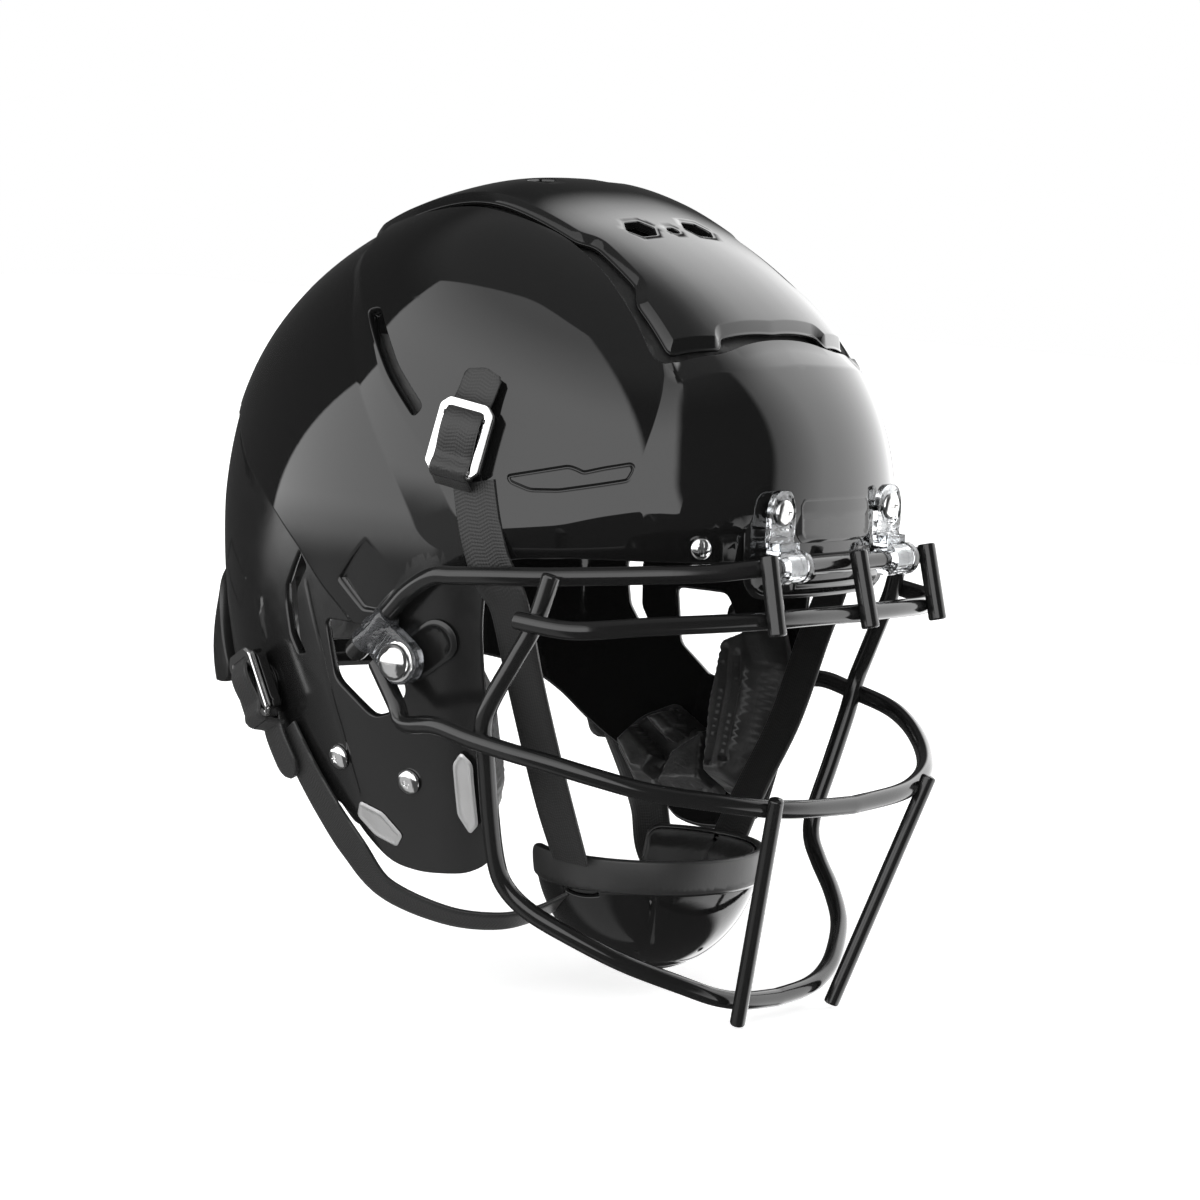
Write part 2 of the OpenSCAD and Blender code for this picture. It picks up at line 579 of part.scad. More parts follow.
shell();
crown_foam();
crown_plate();
front_bumper();
nameplate();
rear_bumper();
rear_label();
front_clip_right();
front_clip_left();
front_clip_screws();
brow_screws();
jaw_screws();
clip_base_right();
clip_base_left();
jaw_labels_front();
jaw_labels_rear();
brow_pad();
crown_pad();
side_pad_right();
side_pad_left();
rear_pad();
nape_pad();
jaw_pad_right();
jaw_pad_left();
cheek_pad_right();
cheek_pad_left();
top_bar();
side_rail_right();
side_rail_left();
brow_bar();
mid_bar();
frame_bar();
brow_links();
chin_bars();
side_clip_right();
side_clip_left();
quarter_turn_right();
quarter_turn_left();
snap_studs();
upper_snap_right();
upper_snap_left();
lower_snap_right();
lower_snap_left();
upper_buckle_right();
upper_buckle_left();
lower_buckle_right();
lower_buckle_left();
upper_strap_right();
upper_strap_left();
lower_strap_right();
lower_strap_left();
chin_cup();
chin_cup_liner();
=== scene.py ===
import math

import bmesh
import bpy
import numpy as np
from mathutils import Matrix, Vector
from mathutils.geometry import delaunay_2d_cdt
from mathutils.kdtree import KDTree


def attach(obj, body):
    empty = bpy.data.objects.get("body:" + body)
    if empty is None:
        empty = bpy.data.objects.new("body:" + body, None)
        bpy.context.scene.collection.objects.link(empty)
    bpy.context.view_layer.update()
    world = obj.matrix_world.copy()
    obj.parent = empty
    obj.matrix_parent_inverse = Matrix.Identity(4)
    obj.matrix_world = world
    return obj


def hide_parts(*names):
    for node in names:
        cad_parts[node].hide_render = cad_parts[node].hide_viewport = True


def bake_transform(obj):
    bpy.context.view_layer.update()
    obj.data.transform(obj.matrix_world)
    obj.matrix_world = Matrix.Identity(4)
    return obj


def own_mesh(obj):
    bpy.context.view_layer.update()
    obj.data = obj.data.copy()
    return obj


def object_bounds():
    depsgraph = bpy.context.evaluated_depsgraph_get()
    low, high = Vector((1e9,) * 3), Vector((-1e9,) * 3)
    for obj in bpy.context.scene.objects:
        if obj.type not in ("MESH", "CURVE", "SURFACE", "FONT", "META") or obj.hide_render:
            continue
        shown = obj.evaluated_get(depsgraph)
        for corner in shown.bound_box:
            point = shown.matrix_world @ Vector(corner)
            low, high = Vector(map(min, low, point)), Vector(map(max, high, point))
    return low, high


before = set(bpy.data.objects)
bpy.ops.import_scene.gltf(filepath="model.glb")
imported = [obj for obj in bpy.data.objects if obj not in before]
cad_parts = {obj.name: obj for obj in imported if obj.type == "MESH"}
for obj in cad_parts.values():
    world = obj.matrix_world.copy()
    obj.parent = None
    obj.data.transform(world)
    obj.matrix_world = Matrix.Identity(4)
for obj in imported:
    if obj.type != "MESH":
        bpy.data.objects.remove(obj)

cad_low, cad_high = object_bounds()
scene = bpy.context.scene
MM = 0.001

# ---------------------------------------- the shell's outer surface, in mm
HALF_W, HEIGHT, FRONT, REAR, WALL = 117.0, 133.0, 132.5, 145.0, 4.0
MID_Y, FRONT_N, REAR_N = -8.0, 2.13, 1.98


def fall(u, p, q):
    return np.maximum(0, 1 - u**p) ** (1 / q)


def half_w(z):
    return HALF_W * fall(np.maximum(0, z) / HEIGHT, 2.45, 2.7) - 0.00156 * np.minimum(0, z) ** 2


def depth(y, z):
    front = FRONT * fall(np.maximum(0, z) / HEIGHT, 2.5, 1.2)
    rear = REAR * fall(np.maximum(0, z) / HEIGHT, 2.25, 1.57) - 0.00182 * np.minimum(0, z) ** 2
    return np.where(y >= MID_Y, rear, front)


def power(y):
    return np.where(y >= MID_Y, REAR_N, FRONT_N)


def level(P):
    """Below zero inside the shell's outer surface."""
    x, y, z = P[..., 0], P[..., 1], P[..., 2]
    n = power(y)
    w, d = np.maximum(half_w(z), 1e-2), np.maximum(depth(y, z), 1e-2)
    return np.where(z >= HEIGHT - 1e-3, 1.0, (np.abs(x) / w) ** n + (np.abs(y - MID_Y) / d) ** n - 1)


def unit(v):
    return v / (np.linalg.norm(v, axis=-1, keepdims=True) + 1e-12)


def gradient(f, P, e=0.3):
    steps = np.eye(3) * e
    return np.stack([f(P + s) - f(P - s) for s in steps], -1) / (2 * e)


def shell_normal(P):
    return unit(gradient(level, P))


def side_x(y, z):
    n = power(y)
    return half_w(z) * np.maximum(0, 1 - (np.abs(y - MID_Y) / depth(y, z)) ** n) ** (1 / n)


def side(uv):
    """Chart of the right side: (y, z)."""
    y, z = uv[:, 0], uv[:, 1]
    return np.stack([-side_x(y, z), y, z], -1)


def front(uv):
    """Chart of the front: (x, z)."""
    x, z = uv[:, 0], uv[:, 1]
    d = depth(np.full_like(x, -50.0), z)
    y = MID_Y - d * np.maximum(0, 1 - (np.abs(x) / half_w(z)) ** FRONT_N) ** (1 / FRONT_N)
    return np.stack([x, y, z], -1)


WRAP_R = 115.0


def wrap_of(P):
    """Unrolled chart of both sides: 0 is the ear, positive towards the front, negative to the rear."""
    return np.stack([WRAP_R * np.arctan2(MID_Y - P[..., 1], np.abs(P[..., 0])), P[..., 2]], -1)


def wrap(uv):
    a, z = uv[:, 0] / WRAP_R, uv[:, 1]
    y_sign = np.where(np.sin(a) > 0, -100.0, 100.0)
    n, d, w = power(y_sign), depth(y_sign, z), half_w(z)
    r = ((np.abs(np.cos(a)) / w) ** n + (np.abs(np.sin(a)) / d) ** n) ** (-1 / n)
    return np.stack([-r * np.cos(a), MID_Y - r * np.sin(a), z], -1)


def crown_height(x, y):
    lo, hi = np.full(x.shape, -60.0), np.full(x.shape, HEIGHT)
    for _ in range(30):
        mid = (lo + hi) / 2
        inside = level(np.stack([x, y, mid], -1)) < 0
        lo, hi = np.where(inside, mid, lo), np.where(inside, hi, mid)
    return lo


class Crown:
    """Chart of the crown: (x, y), on a height map that is smoothed so that the top has no peak."""

    step, x0, y0 = 1.0, -90.0, -140.0
    nx, ny = 181, 261

    def __init__(self, sigma=9.0):
        gx = self.x0 + self.step * np.arange(self.nx)
        gy = self.y0 + self.step * np.arange(self.ny)
        X, Y = np.meshgrid(gx, gy, indexing="ij")
        Z = crown_height(X, Y)
        k = np.exp(-0.5 * (np.arange(-24, 25) / sigma) ** 2)
        k /= k.sum()
        smooth = np.apply_along_axis(lambda r: np.convolve(np.pad(r, 24, "edge"), k, "valid"), 0, Z)
        smooth = np.apply_along_axis(lambda r: np.convolve(np.pad(r, 24, "edge"), k, "valid"), 1, smooth)
        near = np.exp(-(((X / 34) ** 4) + (((Y + 14) / 46) ** 4)))
        self.Z = Z + (smooth + 1.0 - Z) * near
        gxx, gyy = np.gradient(self.Z, self.step)
        self.N = unit(np.stack([-gxx, -gyy, np.ones_like(gxx)], -1))

    def _read(self, grid, x, y):
        i = np.clip((x - self.x0) / self.step, 0, self.nx - 1.001)
        j = np.clip((y - self.y0) / self.step, 0, self.ny - 1.001)
        a, b = i.astype(int), j.astype(int)
        u, v = i - a, j - b
        if grid.ndim == 3:
            u, v = u[:, None], v[:, None]
        return (grid[a, b] * (1 - u) * (1 - v) + grid[a + 1, b] * u * (1 - v)
                + grid[a, b + 1] * (1 - u) * v + grid[a + 1, b + 1] * u * v)

    def __call__(self, uv):
        return np.stack([uv[:, 0], uv[:, 1], self._read(self.Z, uv[:, 0], uv[:, 1])], -1)

    def normal(self, P):
        return unit(self._read(self.N, P[:, 0], P[:, 1]))


crown = Crown()


# ---------------------------------------- flat geometry helpers
def closed(poly):
    """The same outline with its first point again at the end."""
    return np.vstack([poly, poly[:1]])


def resample(path, step):
    """Even spacing along a path."""
    path = np.asarray(path, float)
    seg = np.linalg.norm(np.diff(path, axis=0), axis=1)
    s = np.concatenate([[0], np.cumsum(seg)])
    n = max(2, int(round(s[-1] / step)))
    at = np.linspace(0, s[-1], n + 1)
    return np.stack([np.interp(at, s, path[:, k]) for k in range(path.shape[1])], -1)


def fillet(poly, r, loop=True, steps=5):
    """Rounds the corners of a polygon or polyline."""
    poly = np.asarray(poly, float)
    n, out = len(poly), []
    for i in range(n):
        if not loop and i in (0, n - 1):
            out.append(poly[i])
            continue
        a, b, c = poly[i - 1], poly[i], poly[(i + 1) % n]
        la, lc = np.linalg.norm(a - b), np.linalg.norm(c - b)
        t = min(r, 0.45 * la, 0.45 * lc)
        p, q = b + (a - b) / la * t, b + (c - b) / lc * t
        for u in np.linspace(0, 1, steps):
            out.append((1 - u) ** 2 * p + 2 * u * (1 - u) * b + u * u * q)
    return np.array(out)


def catmull(points, steps=8):
    """A smooth curve through points."""
    p = np.asarray(points, float)
    n = len(p)
    out = []
    for i in range(n - 1):
        a, b, c, d = (p[max(0, min(n - 1, i + k))] for k in (-1, 0, 1, 2))
        for u in np.arange(steps) / steps:
            out.append(0.5 * (2 * b + (c - a) * u + (2 * a - 5 * b + 4 * c - d) * u * u
                              + (3 * b - a - 3 * c + d) * u**3))
    out.append(p[-1])
    return np.array(out)


def seg_distance(pts, path, loop=False):
    """Distance to a polyline, and the signed side: positive on its left."""
    path = closed(np.asarray(path, float)) if loop else np.asarray(path, float)
    best = np.full(len(pts), 1e9)
    sign = np.ones(len(pts))
    for a, b in zip(path[:-1], path[1:]):
        d = b - a
        ll = d @ d
        if ll < 1e-12:
            continue
        t = np.clip((pts - a) @ d / ll, 0, 1)
        v = pts - a - t[:, None] * d
        dist = np.linalg.norm(v, axis=1)
        cross = d[0] * v[:, 1] - d[1] * v[:, 0]
        closer = dist < best - 1e-9
        best = np.where(closer, dist, best)
        sign = np.where(closer, np.where(cross >= 0, 1.0, -1.0), sign)
    return best, sign


def inside(pts, poly):
    """True for the points inside a polygon."""
    x, y = pts[:, 0], pts[:, 1]
    hit = np.zeros(len(pts), bool)
    n = len(poly)
    for i in range(n):
        (x0, y0), (x1, y1) = poly[i], poly[(i + 1) % n]
        if y0 == y1:
            continue
        cross = (y0 > y) != (y1 > y)
        hit ^= cross & (x < (x1 - x0) * (y - y0) / (y1 - y0) + x0)
    return hit


def depth_in(pts, poly):
    """Signed distance to a polygon's edge: positive inside."""
    d, _ = seg_distance(pts, poly, True)
    return np.where(inside(pts, poly), d, -d)


def ramp(x, a=0.0, b=1.0):
    t = np.clip((x - a) / (b - a), 0, 1)
    return t * t * (3 - 2 * t)


def soft_ramp(x, blur=0.12):
    """A straight 0 to 1 ramp with rounded ends."""
    return (np.sqrt(x**2 + blur**2) - np.sqrt((x - 1) ** 2 + blur**2) + 1) / 2


def hex_grid(lo, hi, step):
    rows = []
    for i, y in enumerate(np.arange(lo[1], hi[1], step * 0.866)):
        x = np.arange(lo[0] + (i % 2) * step / 2, hi[0], step)
        rows.append(np.stack([x, np.full_like(x, y)], -1))
    return np.vstack(rows)


def border_edges(tri):
    e = np.vstack([tri[:, [0, 1]], tri[:, [1, 2]], tri[:, [2, 0]]])
    known = {(a, b) for a, b in e.tolist()}
    return [(a, b) for a, b in e.tolist() if (b, a) not in known]


# ---------------------------------------- Blender helpers
def make(name, verts, faces, material, normals=None, face_material=None, sharp=None):
    """A mesh object from points in mm."""
    mesh = bpy.data.meshes.new(name)
    mesh.from_pydata((np.asarray(verts, float) * MM).tolist(), [], [list(map(int, f)) for f in faces])
    obj = bpy.data.objects.new(name, mesh)
    scene.collection.objects.link(obj)
    for m in material if isinstance(material, list) else [material]:
        mesh.materials.append(m)
    mesh.polygons.foreach_set("use_smooth", [True] * len(mesh.polygons))
    if face_material is not None:
        mesh.polygons.foreach_set("material_index", np.asarray(face_material, np.int32))
    if sharp is not None:
        mesh.set_sharp_from_angle(angle=math.radians(sharp))
    mesh.update()
    if normals is not None:
        mesh.normals_split_custom_set_from_vertices([Vector(n) for n in normals])
    return obj


def mirrored(obj, name):
    """A copy on the other side of the middle plane."""
    mesh = obj.data.copy()
    normals = None
    if mesh.has_custom_normals:
        normals = [Vector((-n.vector.x, n.vector.y, n.vector.z)) for n in mesh.corner_normals]
    mesh.transform(Matrix.Diagonal((-1, 1, 1, 1)))
    loops = [list(p.loop_indices) for p in mesh.polygons]
    mesh.flip_normals()
    if normals is not None:
        flipped = [None] * len(normals)
        for p, old in zip(mesh.polygons, loops):
            by_vertex = {obj.data.loops[i].vertex_index: normals[i] for i in old}
            for i in p.loop_indices:
                flipped[i] = by_vertex[mesh.loops[i].vertex_index]
        mesh.normals_split_custom_set(flipped)
    other = bpy.data.objects.new(name, mesh)
    scene.collection.objects.link(other)
    return other


# ---------------------------------------- solids between two surfaces over a flat outline
def densify(path, step, loop=False):
    """Adds points to a path, and keeps its corners."""
    path = closed(np.asarray(path, float)) if loop else np.asarray(path, float)
    out = []
    for a, b in zip(path[:-1], path[1:]):
        n = max(1, int(math.ceil(np.linalg.norm(b - a) / step)))
        out += [a + (b - a) * i / n for i in range(n)]
    if not loop:
        out.append(path[-1])
    return np.array(out)


def thin_out(points, gap, loop=False):
    """Drops points that are nearer than gap to the one before."""
    keep = [points[0]]
    for p in points[1:]:
        if np.linalg.norm(p - keep[-1]) >= gap:
            keep.append(p)
    if loop and np.linalg.norm(keep[-1] - keep[0]) < gap:
        keep.pop()
    return np.array(keep)


def domain(loops, lines, step):
    """Triangulates an outline with holes; lines are creases that the triangles follow."""
    rims = [densify(thin_out(l, 0.15 * step, True), step * 0.7, True) for l in loops]
    creases = [densify(l, step * 0.7) for l in lines]
    tree = KDTree(sum(map(len, rims + creases)))
    for i, p in enumerate(np.vstack(rims + creases)):
        tree.insert((p[0], p[1], 0), i)
    tree.balance()
    grid = hex_grid(rims[0].min(0), rims[0].max(0), step)
    grid = grid[[tree.find((p[0], p[1], 0))[2] > 0.55 * step for p in grid]]
    pts, edges, at = [], [], 0
    for path, loop in [(r, True) for r in rims] + [(c, False) for c in creases]:
        n = len(path)
        pts.append(path)
        edges += [(at + i, at + (i + 1) % n) for i in range(n if loop else n - 1)]
        at += n
    allp = np.vstack(pts + [grid])
    lo, size = allp.min(0), np.ptp(allp, axis=0).max()
    verts, _, faces, _, _, _ = delaunay_2d_cdt([Vector(p) for p in (allp - lo) / size], edges, [], 0, 1e-7)
    out = np.array([[v.x, v.y] for v in verts]) * size + lo
    tri = np.array([f for f in faces if len(f) == 3], int)
    c = out[tri].mean(1)
    ok = inside(c, rims[0])
    for hole in rims[1:]:
        ok &= ~inside(c, hole)
    tri = tri[ok]
    e1, e2 = out[tri[:, 1]] - out[tri[:, 0]], out[tri[:, 2]] - out[tri[:, 0]]
    area = e1[:, 0] * e2[:, 1] - e1[:, 1] * e2[:, 0]
    tri[area < 0] = tri[area < 0][:, ::-1]
    tri = tri[np.abs(area) > 1e-7 * step]
    used = np.unique(tri)
    index = np.full(len(out), -1)
    index[used] = np.arange(len(used))
    return out[used], index[tri]


def surface_normals(S, uv, e):
    """Normals of the surface S, from steps of e in its chart."""
    du = S(uv + [e, 0]) - S(uv - [e, 0])
    dv = S(uv + [0, e]) - S(uv - [0, e])
    return unit(np.cross(du, dv))


def solid(name, top, bottom, loops, material, step=3.0, lines=(), bulge=1.0, boxy=1.0, rings=6,
          face_material=None, e=0.12):
    """A closed piece between two surfaces over an outline, with a rounded rim."""
    uv, tri = domain(loops, lines, step)
    T, B = top(uv), bottom(uv)
    NT, NB = surface_normals(top, uv, e), surface_normals(bottom, uv, e)
    if ((T - B) * NT).sum() < 0:
        NT, tri = -NT, tri[:, ::-1]
    NB = np.where(((T - B) * NB).sum(-1, keepdims=True) > 0, -NB, NB)
    n = len(uv)
    edges = border_edges(tri)
    after = {a: b for a, b in edges}
    out = {a: np.zeros(3) for a, _ in edges}
    for a, b in edges:
        o = np.cross(T[b] - T[a], NT[a] + NT[b])
        o = o / (np.linalg.norm(o) + 1e-9)
        out[a] = out[a] + o
        out[b] = out[b] + o
    verts, normals = [T, B], [NT, NB]
    ids = sorted(after)
    where = {a: i for i, a in enumerate(ids)}
    idx = np.array(ids)
    O = unit(np.array([out[a] for a in ids]))
    C, H = (T[idx] + B[idx]) / 2, (T[idx] - B[idx]) / 2
    half = np.linalg.norm(H, axis=1, keepdims=True)
    angles = np.linspace(0, math.pi, rings + 2)[1:-1]
    for th in angles:
        c, s = math.cos(th), math.sin(th)
        cc, ss = math.copysign(abs(c) ** boxy, c), s**boxy
        verts.append(C + cc * H + ss * bulge * O)
        nc = math.copysign(abs(c) ** (2 - boxy), c) / np.maximum(half, 0.05)
        ns = s ** (2 - boxy) / max(bulge, 0.05)
        normals.append(unit(nc * H / np.maximum(half, 0.05) + ns * O))
    faces = [list(t) for t in tri] + [[a + n for a in t[::-1]] for t in tri]
    k = len(ids)
    materials = [0] * (2 * len(tri))
    for a, b in edges:
        i, j = where[a], where[b]
        chain_a = [a] + [2 * n + r * k + i for r in range(rings)] + [a + n]
        chain_b = [b] + [2 * n + r * k + j for r in range(rings)] + [b + n]
        for p, q, r, s in zip(chain_a[:-1], chain_a[1:], chain_b[1:], chain_b[:-1]):
            faces.append([p, q, r, s])
            materials.append(0)
    if face_material is not None:
        part = face_material(T[tri].mean(1))
        materials[: len(tri)] = part
        by_vertex = {a: m for t, m in zip(tri, part) for a in t}
        for f, (a, b) in enumerate(edges):
            for r in range(rings + 1):
                materials[2 * len(tri) + f * (rings + 1) + r] = by_vertex[a]
    return make(name, np.vstack(verts), faces, material, np.vstack(normals), materials)


def tube(name, path, radius, material, sides=24, tip=0.8):
    """A wire swept along a path with chamfered ends."""
    path = np.asarray(path, float)
    n = len(path)
    t = unit(np.gradient(path, axis=0))
    ref = np.cross(t[0], [0.3, 0.5, 0.8])
    u = ref / np.linalg.norm(ref)
    U = []
    for i in range(n):
        u = u - (u @ t[i]) * t[i]
        u /= np.linalg.norm(u)
        U.append(u)
    U = np.array(U)
    V = np.cross(t, U)
    a = np.arange(sides) * 2 * math.pi / sides
    radius = np.broadcast_to(radius, n)
    dirs = np.cos(a)[None, :, None] * U[:, None] + np.sin(a)[None, :, None] * V[:, None]
    rows, norms = list(path[:, None] + radius[:, None, None] * dirs), list(dirs)
    for end, way in ((0, -1), (n - 1, 1)):
        d = way * t[end]
        ring = [path[end] + d * tip * 0.7 + (radius[end] - tip * 0.3) * dirs[end],
                path[end] + d * tip + (radius[end] - tip) * dirs[end],
                path[end] + d * tip + 1e-3 * dirs[end]]
        nn = [unit(dirs[end] + 0.4 * d), unit(dirs[end] + 2.4 * d), np.tile(d, (sides, 1))]
        if end == 0:
            rows, norms = ring[::-1] + rows, nn[::-1] + norms
        else:
            rows, norms = rows + ring, norms + nn
    m = len(rows)
    faces = []
    for i in range(m - 1):
        for j in range(sides):
            k = (j + 1) % sides
            faces.append([i * sides + j, (i + 1) * sides + j, (i + 1) * sides + k, i * sides + k])
    faces.append(list(range(sides)))
    faces.append([(m - 1) * sides + j for j in range(sides - 1, -1, -1)])
    faces = [f[::-1] for f in faces]
    return make(name, np.vstack(rows), faces, material, np.vstack(norms))


def place(frame_of, local):
    """Points of a local frame (origin, axes) in the part's frame."""
    origin, axes = frame_of
    return origin + np.asarray(local, float) @ axes.T


def on_side(y, z, out=0.0, spin=0.0):
    """Local frame on the right side of the shell: +Z outwards, +Y up, turned by spin degrees."""
    p = side(np.array([[y, z]], float))[0]
    n = shell_normal(p[None])[0]
    right = np.cross([0, 0, 1], n)
    right /= np.linalg.norm(right)
    up = np.cross(n, right)
    c, s = math.cos(math.radians(spin)), math.sin(math.radians(spin))
    return p + out * n, np.stack([c * right + s * up, -s * right + c * up, n], 1)


def flat_plate(name, frame_of, loops, z0, z1, material, step=1.5, bulge=0.5, boxy=0.6, rings=6, lift=None,
               lines=()):
    """A plate in a local frame; lift gives extra height over its plane."""
    def top(uv):
        h = z1 + (lift(uv) if lift else 0)
        return place(frame_of, np.stack([uv[:, 0], uv[:, 1], np.broadcast_to(h, len(uv))], -1))

    def bottom(uv):
        return place(frame_of, np.stack([uv[:, 0], uv[:, 1], np.full(len(uv), z0)], -1))

    inner = [np.asarray(l, float) for l in loops]
    return solid(name, top, bottom, inner, material, step, lines, bulge, boxy, rings, e=0.05)


def lathe(name, frame_of, profile, material, n=48, carve=None, radial=1):
    """A turned piece from a profile of (radius, height); carve lowers it by a function of (x, y)."""
    profile = densify(profile, radial) if radial else np.asarray(profile, float)
    a = np.arange(n) * 2 * math.pi / n
    rows = []
    for r, h in profile:
        x, y = max(r, 1e-3) * np.cos(a), max(r, 1e-3) * np.sin(a)
        z = np.full(n, h) - (carve(x, y) if carve else 0)
        rows.append(np.stack([x, y, z], -1))
    m = len(rows)
    faces = [[i * n + j, i * n + (j + 1) % n, (i + 1) * n + (j + 1) % n, (i + 1) * n + j]
             for i in range(m - 1) for j in range(n)]
    faces += [list(range(n))[::-1], [(m - 1) * n + j for j in range(n)]]
    return make(name, place(frame_of, np.vstack(rows)), faces, material, sharp=38)


def ribbon(name, centres, faces_out, material, width=20.0, thick=1.6, ends=(0, 0)):
    """Flat webbing along a path; the faces_out vectors say which way its face looks. Ends may be rounded."""
    c = np.asarray(centres, float)
    f = np.asarray(faces_out, float)
    s = np.concatenate([[0], np.cumsum(np.linalg.norm(np.diff(c, axis=0), axis=1))])
    at = np.linspace(0, s[-1], max(8, int(s[-1] / 1.6)))
    c = np.stack([np.interp(at, s, c[:, k]) for k in range(3)], -1)
    f = np.stack([np.interp(at, s, f[:, k]) for k in range(3)], -1)
    t = unit(np.gradient(c, axis=0))
    u = unit(f - (f * t).sum(-1, keepdims=True) * t)
    w = np.cross(t, u)
    shrink = np.ones(len(c))
    for end, r in zip((at, at[-1] - at), ends):
        if r:
            x = np.clip(1 - end / r, 0, 1)
            shrink = np.minimum(shrink, np.sqrt(np.maximum(1 - x**2, 0.02)))
    half, h = width / 2, thick / 2
    q = np.array([[-1, 0], [-0.985, -0.7], [-0.93, -1], [-0.6, -1.0], [-0.3, -1.0], [0, -1], [0.3, -1],
                  [0.6, -1], [0.93, -1],
                  [0.985, -0.7], [1, 0], [0.985, 0.7], [0.93, 1], [0.6, 1], [0.3, 1], [0, 1], [-0.3, 1],
                  [-0.6, 1], [-0.93, 1], [-0.985, 0.7]])
    k = len(q)
    rows = [c[i] + q[:, :1] * half * shrink[i] * w[i] + q[:, 1:] * h * u[i] for i in range(len(c))]
    faces = [[i * k + j, (i + 1) * k + j, (i + 1) * k + (j + 1) % k, i * k + (j + 1) % k]
             for i in range(len(c) - 1) for j in range(k)]
    faces += [list(range(k)), [(len(c) - 1) * k + j for j in range(k - 1, -1, -1)]]
    obj = make(name, np.vstack(rows), faces, material, sharp=50)
    uv = obj.data.uv_layers.new(name="weave")
    flat = {}
    for i in range(len(c)):
        for j in range(k):
            flat[i * k + j] = (q[j, 0] * half * MM, at[i] * MM)
    for loop in obj.data.loops:
        uv.data[loop.index].uv = flat[loop.vertex_index]
    bm = bmesh.new()
    bm.from_mesh(obj.data)
    bmesh.ops.recalc_face_normals(bm, faces=bm.faces)
    bm.to_mesh(obj.data)
    bm.free()
    return obj


def finish_piece(obj, body, *nodes, slot=None, fill=None):
    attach(obj, body)
    if nodes:
        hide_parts(*nodes)
    return obj


def both_sides(obj, body, node, slot, fill=None):
    """Finishes a right-hand piece and its mirror image; {} in body or node takes the side's name."""
    left = mirrored(obj, obj.name.replace("_right", "_left"))
    for one, side_name in ((obj, "right"), (left, "left")):
        finish_piece(one, body.format(side_name), node.format(side_name), slot=slot, fill=fill)


# ---------------------------------------- materials
class Graph:
    """Small helper for node trees."""

    def __init__(self, name, world=False):
        self.owner = bpy.data.worlds.new(name) if world else bpy.data.materials.new(name)
        self.owner.use_nodes = True
        self.tree = self.owner.node_tree
        self.tree.nodes.clear()

    def add(self, kind, inputs=None, **settings):
        node = self.tree.nodes.new(kind)
        for key, value in settings.items():
            setattr(node, key, value)
        for key, value in (inputs or {}).items():
            if isinstance(value, bpy.types.NodeSocket):
                self.tree.links.new(value, node.inputs[key])
            else:
                node.inputs[key].default_value = value
        return node

    def math(self, op, a, b=0.0):
        return self.add("ShaderNodeMath", {0: a, 1: b}, operation=op).outputs[0]

    def step(self, value, a, b):
        return self.add("ShaderNodeMapRange", {0: value, 1: a, 2: b, 3: 0.0, 4: 1.0},
                        interpolation_type="SMOOTHSTEP").outputs[0]

    def spread(self, value, a, b, lo, hi):
        return self.add("ShaderNodeMapRange", {0: value, 1: a, 2: b, 3: lo, 4: hi}).outputs[0]

    def place(self, stretch=(1, 1, 1)):
        at = self.add("ShaderNodeTexCoord").outputs["Object"]
        return self.add("ShaderNodeMapping", {"Vector": at, "Scale": stretch}).outputs[0]

    def noise(self, scale, detail=3.0, stretch=(1, 1, 1), rough=0.5):
        return self.add("ShaderNodeTexNoise",
                        {"Vector": self.place(stretch), "Scale": scale, "Detail": detail,
                         "Roughness": rough}).outputs[0]

    def cells(self, scale, feature="F1"):
        return self.add("ShaderNodeTexVoronoi", {"Vector": self.place(), "Scale": scale},
                        feature=feature).outputs["Distance"]

    def bump(self, height, distance, normal=None):
        inputs = {"Height": height, "Distance": distance, "Strength": 1.0}
        if normal is not None:
            inputs["Normal"] = normal
        return self.add("ShaderNodeBump", inputs).outputs[0]

    def tint(self, factor, a, b):
        mix = self.add("ShaderNodeMix", data_type="RGBA")
        for key, value in ((0, factor), (6, a), (7, b)):
            if isinstance(value, bpy.types.NodeSocket):
                self.tree.links.new(value, mix.inputs[key])
            else:
                mix.inputs[key].default_value = value
        return mix.outputs[2]

    def surface(self, **inputs):
        inputs = {k.replace("_", " "): v for k, v in inputs.items()}
        bsdf = self.add("ShaderNodeBsdfPrincipled", inputs)
        self.add("ShaderNodeOutputMaterial", {0: bsdf.outputs[0]})
        return self.owner


def grey(v, warm=0.0):
    return (v * (1 + warm), v, v * (1 - warm), 1)


def moulded(name, value, rough, grain_size, grain_height, gloss_wave=0.0, wear=0.15, spread=0.05):
    """Moulded plastic: a fine pebble grain, slow waves in the gloss, and rubbed patches."""
    g = Graph(name)
    fine = g.noise(1.0 / grain_size, 4.0)
    cells = g.cells(0.7 / grain_size, "SMOOTH_F1")
    slow = g.noise(38.0, 2.0)
    patches = g.noise(55.0, 5.0, rough=0.62)
    grain = g.math("ADD", g.math("MULTIPLY", fine, 0.6), g.math("MULTIPLY", cells, 0.5))
    normal = g.bump(grain, grain_height)
    if gloss_wave:
        normal = g.bump(slow, gloss_wave, normal=normal)
    rub = g.spread(patches, 0.35, 0.7, rough - spread, rough + spread)
    colour = g.tint(g.math("MULTIPLY", g.step(patches, 0.42, 0.8), wear), grey(value),
                    grey(value * 2.2 + 0.004, 0.02))
    return g.surface(Base_Color=colour, Roughness=rub, Normal=normal, IOR=1.5)


